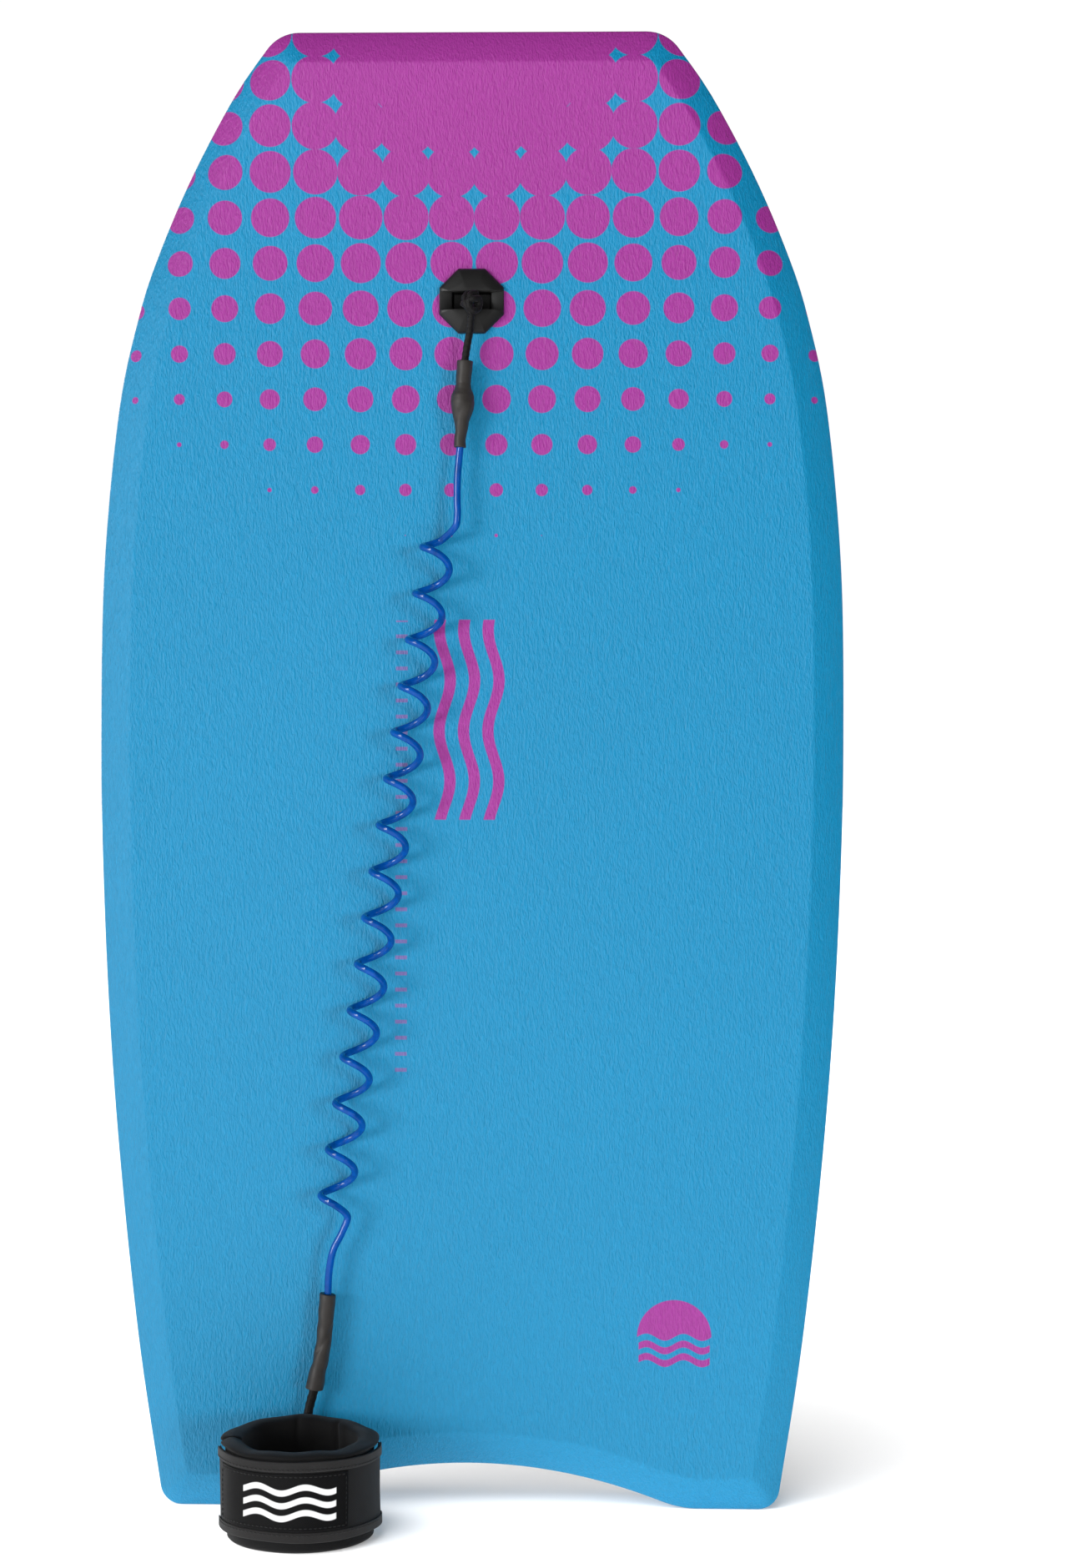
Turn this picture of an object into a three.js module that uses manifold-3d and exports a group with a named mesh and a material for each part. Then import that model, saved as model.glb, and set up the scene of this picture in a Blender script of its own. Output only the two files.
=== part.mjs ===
// Bodyboard with a coiled wrist leash, standing upright on its tail.
// Millimetres, +Z up, +X across the board, the deck faces -Y and the slick faces +Y.
import * as THREE from 'three';
import { mergeVertices } from 'three/addons/utils/BufferGeometryUtils.js';
import Module from 'manifold-3d';

const wasm = await Module();
wasm.setup();

// ---------------------------------------------------------------- driving dimensions

const GAP = 0.3; // clearance kept between pieces that touch
const GLUE_LINE = 0.6; // between the core and the skins bonded to it

// Board, in its own frame: y = 0 is the deck's flat face, y grows towards the slick.
const BOARD_LENGTH = 940;
const BOARD_THICKNESS = 52;
// The deck-side bevel's width at the tail, along the rails and at the nose, square to the deck.
const TAIL_CHINE = 22.5;
const RAIL_CHINE = 20;
const NOSE_CHINE = 21.5;
const CHINE_DEPTH = 14;
const RAIL_UNDERCUT = 14; // how much narrower the slick is than the rail, each side
const NOSE_UNDERCUT = 6;
const TAIL_CHAMFER = 3;
const TAIL_FLAT_END = 46; // the tail's standing face runs from the chine to here
const DECK_SKIN = 5;
const SKIN_LIFT = 0.5; // the deck skin's tail edge stays this far off the floor
const RAIL_SKIN = 5.2;
const RAIL_LAP = 4.6; // how far the rail's back edge reaches under the slick
const BELLY_DEPTH = 33; // the rail starts to draw in faster behind this depth
const BELLY_SHARE = 0.38; // share of the undercut reached there
const SQUARE_SHARE = 0.82; // and at the end of the tail's standing face
const INNER_GRID = 24; // the slick-side surface is gridded inside this inset
const SLICK_SHEET = 1.8;

// Outline. The rail curve runs from the tail corner to the nose corner, as x, z.
const RAIL_CURVE = [
  [198.2, 14], [211.4, 100], [222.6, 200], [230.8, 300], [235.7, 400], [237.4, 490],
  [235.7, 600], [226.6, 700], [214.2, 760], [201.4, 800], [179.8, 850], [152.4, 900], [130.8, 930],
];
const TAIL_CORNER_RADIUS = 14;
const NOSE_CORNER_RADIUS = 26;
const MIN_CORNER_RADIUS = 5;
const CRESCENT_DEPTH = 28; // the notch between the two tail lobes
const CRESCENT_RADIUS = 320;
const LOBE_EASE = 5; // half height of the blend from the crescent to the flat lobe

// The nose lifts towards the deck side over its last stretch.
const ROCKER_START = 790;
const ROCKER_LIFT = 12;

// Two tapered channels in the slick at the tail.
const CHANNEL_LENGTH = 256;
const CHANNEL_DEPTH = 6;
const CHANNEL_HALF_WIDTH = 29;
const CHANNEL_X_TAIL = 120;
const CHANNEL_X_APEX = 138;

// Leash plug, on the centre line.
const PLUG_Z = 768.5;
const PLUG_FLATS = 41; // octagon, across flats
const PLUG_RISE = 6.2;
const PLUG_BARREL_RADIUS = 14.5;
const PLUG_BARREL_END = 36;
const PLUG_THREAD_RADIUS = 10.2;
const PLUG_POCKET_DEPTH = 7.4;
const SLOT_HEIGHT = 11.5;
const POCKET_HALF_WIDTH = 11.5;
const CROSSBAR_RADIUS = 1.8;
const CROSSBAR_LENGTH = 17.4;
const CROSSBAR_Y = -3.2;
const BASE_DISC_RADIUS = 19;
const BASE_DISC_THICKNESS = 2.6;
const COIN_SLOT = [14, 1.2, 2.2]; // length, depth, width

// Leash.
const KNOT_SIZE = [7.8, 3.9, 9.2]; // half sizes
const KNOT_Y = -10.7;
const CORD_RADIUS = 2.25;
const LOWER_CORD_RADIUS = 2.75;
const LEAD_RADIUS = 2.3;
const COIL_RADIUS = 11.85;
const COIL_Y = -12.5;

// Cuff, standing in front of the deck. Radii of the layers from the wrist outwards.
const CUFF_X = -102.3;
const CUFF_Y = -58.5;
const PAD_RADII = [38.5, 44.1];
const PAD_HEIGHT = 60;
const STRAP_RADII = [44.4, 45.6];
const LOOP_RADII = [45.9, 46.5];
const HOOK_RADII = [46.8, 47.4];
const FLAP_RADII = [47.7, 48.9];
const TRIM_RADII = [49.2, 49.8];
const STRAP_Z = [8, 56];
const BINDING_WIDTH = 6;
const PATCH_ANGLES = [203, 311];
const PATCH_Z = [15, 49];
const TUNNEL_Z = [36, 56];
const TUNNEL_HALF_WIDTH = 9;
const TUNNEL_RIDGE = 8; // how far the tunnel stands off the strap
const TUNNEL_RIDGE_HALF_WIDTH = 3.4;
const TUNNEL_EDGE = 1.4; // thickness of its sewn edges
const EYE_OFFSET = 4; // from the strap to the middle of the cord
const FLAP_HINGE_ANGLE = 8; // degrees, from +X, where the flap is sewn down
const FLAP_END_ANGLE = 188; // its free end, half a turn away through the front

// The whole object's footprint runs from the cuff's front to the plug's base disc.
const FRONT_Y = CUFF_Y - TRIM_RADII[1];
const BACK_Y = BOARD_THICKNESS + GAP + BASE_DISC_THICKNESS;
const ORIGIN_Y = -(FRONT_Y + BACK_Y) / 2;

// ---------------------------------------------------------------- materials

function finish(color, roughness, metalness = 0) {
  return new THREE.MeshStandardMaterial({ color, roughness, metalness });
}

const MATERIAL = {
  printedFoam: finish(0x3aa0d2, 0.85),
  railFoam: finish(0x1e8fd0, 0.85),
  coreFoam: finish(0xf2f2ee, 0.9),
  slick: finish(0xe2e2e2, 0.35),
  plug: finish(0x17171a, 0.4),
  steel: finish(0xb8bcc0, 0.3, 1),
  cord: finish(0x1b1b1d, 0.8),
  sleeve: finish(0x3b3834, 0.6),
  lead: finish(0x0f48b8, 0.15),
  neoprene: finish(0x1d1d1e, 0.9),
  webbing: finish(0x262628, 0.85),
  binding: finish(0x3a3a3c, 0.85),
  hook: finish(0x141415, 0.95),
};

// ---------------------------------------------------------------- helpers

const object = new THREE.Group();
object.position.y = ORIGIN_Y;

function add(name, geometry, material, parent = object) {
  const mesh = new THREE.Mesh(geometry, material);
  mesh.name = name;
  parent.add(mesh);
  return mesh;
}

function bareGeometry(geometry) {
  const bare = new THREE.BufferGeometry();
  bare.setAttribute('position', geometry.getAttribute('position').clone());
  if (geometry.index) bare.setIndex(geometry.index.clone());
  return mergeVertices(bare, 1e-4);
}

function signedVolume(positions, triangles) {
  const corner = (i) => new THREE.Vector3().fromArray(positions, 3 * triangles[i]);
  let volume = 0;
  for (let i = 0; i < triangles.length; i += 3) {
    volume += corner(i).dot(corner(i + 1).cross(corner(i + 2))) / 6;
  }
  return volume;
}

// A closed surface whose faces point out, whichever way round they were listed.
function closedGeometry(positions, triangles) {
  if (signedVolume(positions, triangles) < 0) triangles.reverse();
  const geometry = new THREE.BufferGeometry();
  geometry.setAttribute('position', new THREE.Float32BufferAttribute(positions, 3));
  geometry.setIndex(triangles);
  return bareGeometry(geometry);
}

function toSolid(geometry) {
  const bare = bareGeometry(geometry);
  const mesh = new wasm.Mesh({
    numProp: 3,
    vertProperties: Float32Array.from(bare.getAttribute('position').array),
    triVerts: Uint32Array.from(bare.index.array),
  });
  return new wasm.Manifold(mesh);
}

function toGeometry(solid) {
  const mesh = solid.getMesh();
  const geometry = new THREE.BufferGeometry();
  geometry.setAttribute('position', new THREE.Float32BufferAttribute(mesh.vertProperties, 3));
  geometry.setIndex(Array.from(mesh.triVerts));
  return geometry;
}

// A round bar along Y through the plug's axis, from y0 to y1.
function plugCylinder(radius, y0, y1, segments = 32) {
  const bar = new THREE.CylinderGeometry(radius, radius, y1 - y0, segments);
  bar.rotateY(Math.PI / segments); // keeps its corners off the board's centre line
  bar.translate(0, (y0 + y1) / 2, PLUG_Z);
  return toSolid(bar);
}

// ---------------------------------------------------------------- board outline

function crescent(x) {
  const height = CRESCENT_DEPTH - (x * x) / (2 * CRESCENT_RADIUS);
  if (height > LOBE_EASE) return height;
  if (height < -LOBE_EASE) return 0;
  return (height + LOBE_EASE) ** 2 / (4 * LOBE_EASE);
}

function rocker(z) {
  const share = Math.max(0, z - ROCKER_START) / (BOARD_LENGTH - ROCKER_START);
  return -ROCKER_LIFT * share * share;
}

function channel(x, z) {
  const reach = 1 - z / CHANNEL_LENGTH;
  if (reach <= 0) return 0;
  const centre = CHANNEL_X_TAIL + (CHANNEL_X_APEX - CHANNEL_X_TAIL) * (1 - reach);
  const across = (Math.abs(x) - centre) / (CHANNEL_HALF_WIDTH * (0.35 + 0.65 * reach));
  if (Math.abs(across) >= 1) return 0;
  return CHANNEL_DEPTH * Math.sqrt(reach) * Math.cos((Math.PI / 2) * across) ** 2;
}

const railSpline = new THREE.SplineCurve(RAIL_CURVE.map(([x, z]) => new THREE.Vector2(x, z)));

// The rail moved inwards, run on in a straight line past both of its ends.
function offsetRail(inset) {
  const steps = 120;
  const reach = 60;
  const points = [];
  for (let i = 0; i <= steps; i++) {
    const tangent = railSpline.getTangent(i / steps);
    const point = railSpline.getPoint(i / steps);
    point.add(new THREE.Vector2(-tangent.y, tangent.x).multiplyScalar(inset));
    points.push(point);
  }
  const first = points[0].clone().addScaledVector(railSpline.getTangent(0), -reach);
  const last = points[steps].clone().addScaledVector(railSpline.getTangent(1), reach);
  return [first, ...points, last];
}

function railX(points, z) {
  const i = Math.max(1, points.findIndex((p) => p.y >= z));
  const [a, b] = [points[i - 1], points[i]];
  return a.x + ((b.x - a.x) * (z - a.y)) / (b.y - a.y);
}

// A rounded corner between two directions that meet at a point.
function roundCorner(corner, before, after, radius, count) {
  const turn = before.angleTo(after);
  const reach = radius * Math.tan(turn / 2);
  const start = corner.clone().addScaledVector(before, -reach);
  const end = corner.clone().addScaledVector(after, reach);
  const side = new THREE.Vector2(-before.y, before.x);
  const centre = start.clone().addScaledVector(side, radius);
  const arc = [];
  for (let i = 0; i <= count; i++) {
    arc.push(start.clone().rotateAround(centre, (turn * i) / count));
  }
  return { start, end, arc };
}

const TAIL_REACH = 170; // the tail's points have the same x in every outline
const TAIL_STEPS = [0, 0.24, 0.44, 0.54, 0.62, 0.7, 0.78, 0.86, 0.95];
const RAIL_STEPS = [0.07, 0.15, 0.24, 0.36, 0.5, 0.62, 0.71, 0.78, 0.84, 0.89, 0.94, 0.98];
const CORNER_COUNT = 4;

// Half of the outline from the tail's centre to the nose's centre, as x, z. The insets
// say how far each edge is moved inwards. Every outline has the same number of points.
function halfOutline({ tail, rail, nose }) {
  const edge = offsetRail(rail);
  const [first, second] = edge;
  const [nextToLast, last] = edge.slice(-2);
  const tailEdge = new THREE.Vector2(railX([first, second], tail), tail);
  const noseZ = BOARD_LENGTH - nose;
  const noseEdge = new THREE.Vector2(railX([nextToLast, last], noseZ), noseZ);
  const up = second.clone().sub(first).normalize();
  const inwards = last.clone().sub(nextToLast).normalize();
  const tailRadius = Math.max(MIN_CORNER_RADIUS, TAIL_CORNER_RADIUS - rail);
  const noseRadius = Math.max(MIN_CORNER_RADIUS, NOSE_CORNER_RADIUS - rail);
  const right = new THREE.Vector2(1, 0);
  const left = new THREE.Vector2(-1, 0);
  const tailCorner = roundCorner(tailEdge, right, up, tailRadius, CORNER_COUNT);
  const noseCorner = roundCorner(noseEdge, inwards, left, noseRadius, CORNER_COUNT);
  const bottom = TAIL_STEPS.map((share) => {
    const x = TAIL_REACH * share;
    return new THREE.Vector2(x, crescent(x) + tail);
  });
  const [z0, z1] = [tailCorner.end.y, noseCorner.start.y];
  const side = RAIL_STEPS.map((share) => {
    const z = z0 + (z1 - z0) * share;
    return new THREE.Vector2(railX(edge, z), z);
  });
  const top = TAIL_STEPS.map((share) => new THREE.Vector2(noseCorner.end.x * share, noseZ));
  return [...bottom, ...tailCorner.arc, ...side, ...noseCorner.arc, ...top.reverse()];
}

const HALF = halfOutline({ tail: 0, rail: 0, nose: 0 }).length;
const TAIL_CORNER = TAIL_STEPS.length + CORNER_COUNT / 2;
const NOSE_CORNER = HALF - 1 - TAIL_CORNER;
const LOOP = 2 * (HALF - 1);

function inset(tail, rail = tail, nose = tail) {
  return { tail, rail, nose };
}

// The full outline at one depth, anticlockwise from the tail's centre. The slick side
// also sinks into the two channels.
function loop(insets, y, channelled = false) {
  const half = halfOutline(insets);
  const mirrored = half.slice(1, -1).reverse().map((p) => new THREE.Vector2(-p.x, p.y));
  return [...half, ...mirrored].map((p) => boardPoint(p.x, y, p.y, channelled));
}

function boardPoint(x, y, z, channelled) {
  const sink = channelled ? channel(x, z) : 0;
  return new THREE.Vector3(x, y + rocker(z) - sink, z);
}

// A grid of points that fills a loop, row by row from the tail to the nose.
function gridInside(outline) {
  const columns = 2 * TAIL_CORNER;
  const rows = NOSE_CORNER - TAIL_CORNER;
  const at = (index) => outline[(index + LOOP) % LOOP];
  const bottom = (i) => at(i - TAIL_CORNER);
  const top = (i) => at(LOOP - NOSE_CORNER - i);
  const right = (j) => at(TAIL_CORNER + j);
  const left = (j) => at(LOOP - TAIL_CORNER - j);
  const grid = [];
  for (let j = 0; j <= rows; j++) {
    const row = [];
    for (let i = 0; i <= columns; i++) {
      const u = (bottom(i).x - bottom(0).x) / (bottom(columns).x - bottom(0).x);
      const v = (left(j).z - left(0).z) / (left(rows).z - left(0).z);
      const point = new THREE.Vector3();
      point.addScaledVector(bottom(i), 1 - v).addScaledVector(top(i), v);
      point.addScaledVector(left(j), 1 - u).addScaledVector(right(j), u);
      point.addScaledVector(bottom(0), -(1 - u) * (1 - v)).addScaledVector(bottom(columns), -u * (1 - v));
      point.addScaledVector(top(0), -(1 - u) * v).addScaledVector(top(columns), -u * v);
      row.push(point);
    }
    grid.push(row);
  }
  return grid;
}

// A solid whose surface runs over a list of loops, with a grid closing each end.
function layeredSolid(loops, startDepth, endDepth) {
  const positions = [];
  const triangles = [];
  const quad = (a, b, c, d) => triangles.push(a, b, c, a, c, d);
  for (const outline of loops) outline.forEach((p) => positions.push(p.x, p.y, p.z));
  for (let k = 0; k + 1 < loops.length; k++) {
    for (let i = 0; i < LOOP; i++) {
      const next = (i + 1) % LOOP;
      quad(k * LOOP + i, k * LOOP + next, (k + 1) * LOOP + next, (k + 1) * LOOP + i);
    }
  }
  const cap = (outline, { y, channelled }, flip) => {
    const base = positions.length / 3;
    const grid = gridInside(outline);
    const columns = grid[0].length;
    grid.forEach((row, j) => row.forEach((p, i) => {
      const onEdge = j === 0 || j === grid.length - 1 || i === 0 || i === columns - 1;
      const q = onEdge ? p : boardPoint(p.x, y, p.z, channelled);
      positions.push(q.x, q.y, q.z);
    }));
    for (let j = 0; j + 1 < grid.length; j++) {
      for (let i = 0; i + 1 < columns; i++) {
        const a = base + j * columns + i;
        const [right, up, across] = [a + 1, a + columns, a + 1 + columns];
        if (flip) quad(a, up, across, right);
        else quad(a, right, across, up);
      }
    }
  };
  cap(loops[0], startDepth, true);
  cap(loops[loops.length - 1], endDepth, false);
  return closedGeometry(positions, triangles);
}

// A strip that follows part of the outline, its section made by a ring of loops.
function edgeStrip(loops, from, to) {
  const positions = [];
  const triangles = [];
  const count = loops.length;
  const sections = to - from;
  for (let s = 0; s <= sections; s++) {
    for (const outline of loops) {
      const at = (index) => outline[((index % LOOP) + LOOP) % LOOP];
      const point = at(from + s).clone();
      const inwards = s === 0 ? at(from + 1) : at(to - 1);
      if (s === 0 || s === sections) {
        point.lerp(inwards, GAP / 2 / point.distanceTo(inwards));
      }
      positions.push(point.x, point.y, point.z);
    }
  }
  for (let s = 0; s < sections; s++) {
    for (let k = 0; k < count; k++) {
      const next = (k + 1) % count;
      const [a, b] = [s * count + k, s * count + next];
      triangles.push(a, b, b + count, a, b + count, a + count);
    }
  }
  const last = sections * count;
  for (let k = 1; k + 1 < count; k++) {
    triangles.push(0, k + 1, k);
    triangles.push(last, last + k, last + k + 1);
  }
  return closedGeometry(positions, triangles);
}

// ---------------------------------------------------------------- board

// The outline at the edge of the deck's flat face, drawn in by a further amount.
function chine(further) {
  return inset(TAIL_CHINE + further, RAIL_CHINE + further, NOSE_CHINE + further);
}

function addBoard() {
  const slickY = BOARD_THICKNESS - SLICK_SHEET;
  const coreBackY = slickY - GLUE_LINE;
  const railTop = CHINE_DEPTH + GAP;
  const skinInset = 1.7; // the skin's inner corner, inside the flat's edge
  const deckFlat = chine(0);
  const coreBack = { y: coreBackY, channelled: true };
  const innerGrid = inset(INNER_GRID);
  const coreEdge = RAIL_SKIN + 0.4;
  const coreBackEdge = inset(TAIL_CHAMFER + coreEdge, RAIL_UNDERCUT + coreEdge, NOSE_UNDERCUT + coreEdge);

  const deckSkin = layeredSolid(
    [
      loop(chine(skinInset), DECK_SKIN),
      loop(inset(RAIL_SKIN), CHINE_DEPTH),
      loop(inset(SKIN_LIFT, 0, 0), CHINE_DEPTH),
      loop(deckFlat, 0),
    ],
    { y: DECK_SKIN },
    { y: 0 },
  );

  const core = layeredSolid(
    [
      loop(chine(skinInset + 0.8), DECK_SKIN + GLUE_LINE),
      loop(inset(RAIL_SKIN + 0.8), CHINE_DEPTH + GLUE_LINE),
      loop(coreBackEdge, coreBackY, true),
      loop(innerGrid, coreBackY, true),
    ],
    { y: DECK_SKIN + GLUE_LINE },
    coreBack,
  );

  const slickEdge = inset(TAIL_CHAMFER + 0.6, RAIL_UNDERCUT + 0.6, NOSE_UNDERCUT + 0.6);
  const slickLip = inset(TAIL_CHAMFER + 1.4, RAIL_UNDERCUT + 1.4, NOSE_UNDERCUT + 1.4);
  const slick = layeredSolid(
    [
      loop(innerGrid, slickY, true),
      loop(slickEdge, slickY, true),
      loop(slickEdge, BOARD_THICKNESS - 0.8, true),
      loop(slickLip, BOARD_THICKNESS, true),
      loop(innerGrid, BOARD_THICKNESS, true),
    ],
    { y: slickY, channelled: true },
    { y: BOARD_THICKNESS, channelled: true },
  );

  const bore = plugCylinder(PLUG_BARREL_RADIUS + GAP, -20, coreBackY + 10);
  const slickBore = plugCylinder(PLUG_THREAD_RADIUS + 0.2, 20, 70);
  add('foam_core', toGeometry(toSolid(core).subtract(bore)), MATERIAL.coreFoam);
  add('deck_skin', toGeometry(toSolid(deckSkin).subtract(bore)), MATERIAL.printedFoam);
  add('slick_sheet', toGeometry(toSolid(slick).subtract(slickBore)), MATERIAL.slick);

  // Rails: a skin around the edge, in four strips that meet at the corners.
  const strip = [
    loop(inset(0), railTop),
    loop(inset(0, BELLY_SHARE * RAIL_UNDERCUT, BELLY_SHARE * NOSE_UNDERCUT), BELLY_DEPTH),
    loop(inset(0, SQUARE_SHARE * RAIL_UNDERCUT, SQUARE_SHARE * NOSE_UNDERCUT), TAIL_FLAT_END, true),
    loop(inset(TAIL_CHAMFER, RAIL_UNDERCUT, NOSE_UNDERCUT), coreBackY, true),
    loop(inset(TAIL_CHAMFER + RAIL_LAP, RAIL_UNDERCUT + RAIL_LAP, NOSE_UNDERCUT + RAIL_LAP), coreBackY, true),
    loop(inset(RAIL_SKIN), railTop),
  ];
  add('tail_rail', edgeStrip(strip, -TAIL_CORNER, TAIL_CORNER), MATERIAL.railFoam);
  add('right_rail', edgeStrip(strip, TAIL_CORNER, NOSE_CORNER), MATERIAL.railFoam);
  add('nose_rail', edgeStrip(strip, NOSE_CORNER, LOOP - NOSE_CORNER), MATERIAL.railFoam);
  add('left_rail', edgeStrip(strip, LOOP - NOSE_CORNER, LOOP - TAIL_CORNER), MATERIAL.railFoam);
}

// ---------------------------------------------------------------- leash plug

// An upright prism of a profile drawn in x and y, cut to the plug's slot height.
function plugPrism(points, height) {
  const shape = new THREE.Shape(points.map(([x, y]) => new THREE.Vector2(x, y)));
  const prism = new THREE.ExtrudeGeometry(shape, { depth: height, bevelEnabled: false });
  prism.translate(0, 0, PLUG_Z - height / 2);
  return toSolid(prism);
}

function addPlug() {
  // Octagonal flange with a low dome, turned so that two flats are level.
  const apothem = PLUG_FLATS / 2;
  const corner = 1 / Math.cos(Math.PI / 8);
  const profile = [
    [0, GAP], [apothem, GAP], [apothem, 2.2], [apothem - 1.8, 4.2], [apothem - 6, 5.6],
    [apothem - 12, PLUG_RISE], [0, PLUG_RISE],
  ];
  const lathe = new THREE.LatheGeometry(profile.map(([r, h]) => new THREE.Vector2(r * corner, h)), 8);
  lathe.rotateY(Math.PI / 8);
  lathe.scale(1, -1, 1);
  lathe.translate(0, 0, PLUG_Z);
  const flange = toSolid(closedGeometry(
    Array.from(bareGeometry(lathe).getAttribute('position').array),
    Array.from(bareGeometry(lathe).index.array),
  ));

  const barrel = plugCylinder(PLUG_BARREL_RADIUS, -1, PLUG_BARREL_END);
  const thread = plugCylinder(PLUG_THREAD_RADIUS, PLUG_POCKET_DEPTH + 6, PLUG_BARREL_END + 1);
  // The slot: a shallow ramp in from each side, and a pocket under the crossbar.
  const slot = plugPrism(
    [
      [-30, -20], [30, -20], [30, -2.4], [apothem, -2.4], [POCKET_HALF_WIDTH + 1, -1.2],
      [POCKET_HALF_WIDTH, PLUG_POCKET_DEPTH], [-POCKET_HALF_WIDTH, PLUG_POCKET_DEPTH],
      [-POCKET_HALF_WIDTH - 1, -1.2], [-apothem, -2.4], [-30, -2.4],
    ],
    SLOT_HEIGHT,
  );
  const barHole = new THREE.CylinderGeometry(CROSSBAR_RADIUS + GAP, CROSSBAR_RADIUS + GAP, CROSSBAR_LENGTH + 1, 16);
  barHole.rotateX(Math.PI / 2);
  barHole.translate(0, CROSSBAR_Y, PLUG_Z);
  const plug = flange.add(barrel).subtract(thread).subtract(slot).subtract(toSolid(barHole));
  add('plug_top', toGeometry(plug), MATERIAL.plug);

  const bar = new THREE.CylinderGeometry(CROSSBAR_RADIUS, CROSSBAR_RADIUS, CROSSBAR_LENGTH, 16);
  const crossbar = add('plug_crossbar', bar, MATERIAL.steel);
  crossbar.rotation.x = Math.PI / 2;
  crossbar.position.set(0, CROSSBAR_Y, PLUG_Z);

  // The base screws up into the barrel from the slick side.
  const discY = BOARD_THICKNESS + GAP;
  const post = plugCylinder(PLUG_THREAD_RADIUS - GAP, PLUG_POCKET_DEPTH + 8, discY + 1);
  const disc = new THREE.CylinderGeometry(BASE_DISC_RADIUS - 1.4, BASE_DISC_RADIUS, BASE_DISC_THICKNESS, 40);
  disc.translate(0, discY + BASE_DISC_THICKNESS / 2, PLUG_Z);
  const [slotLength, slotDepth, slotWidth] = COIN_SLOT;
  const coinSlot = new THREE.BoxGeometry(slotLength, 2 * slotDepth, slotWidth);
  coinSlot.translate(0, discY + BASE_DISC_THICKNESS, PLUG_Z);
  const base = post.add(toSolid(disc)).subtract(toSolid(coinSlot));
  add('plug_base', toGeometry(base), MATERIAL.plug);
}

// ---------------------------------------------------------------- leash

// A closed profile of radius and distance turned about the line from start to end.
function turned(name, profile, start, end, material, segments = 16) {
  const points = profile.map(([radius, distance]) => new THREE.Vector2(radius, distance));
  const mesh = add(name, new THREE.LatheGeometry(points, segments), material);
  const direction = end.clone().sub(start).normalize();
  mesh.quaternion.setFromUnitVectors(new THREE.Vector3(0, 1, 0), direction);
  mesh.position.copy(start);
  return mesh;
}

function tube(name, points, radius, sides, steps, material) {
  const section = new THREE.Shape();
  for (let i = 0; i < sides; i++) {
    const angle = (2 * Math.PI * i) / sides;
    const place = [radius * Math.cos(angle), radius * Math.sin(angle)];
    if (i === 0) section.moveTo(...place);
    else section.lineTo(...place);
  }
  const path = new THREE.CatmullRomCurve3(points.map((p) => new THREE.Vector3(...p)));
  add(name, new THREE.ExtrudeGeometry(section, { steps, extrudePath: path }), material);
}

function along(start, end, distance) {
  return start.clone().addScaledVector(end.clone().sub(start).normalize(), distance).toArray();
}

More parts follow.
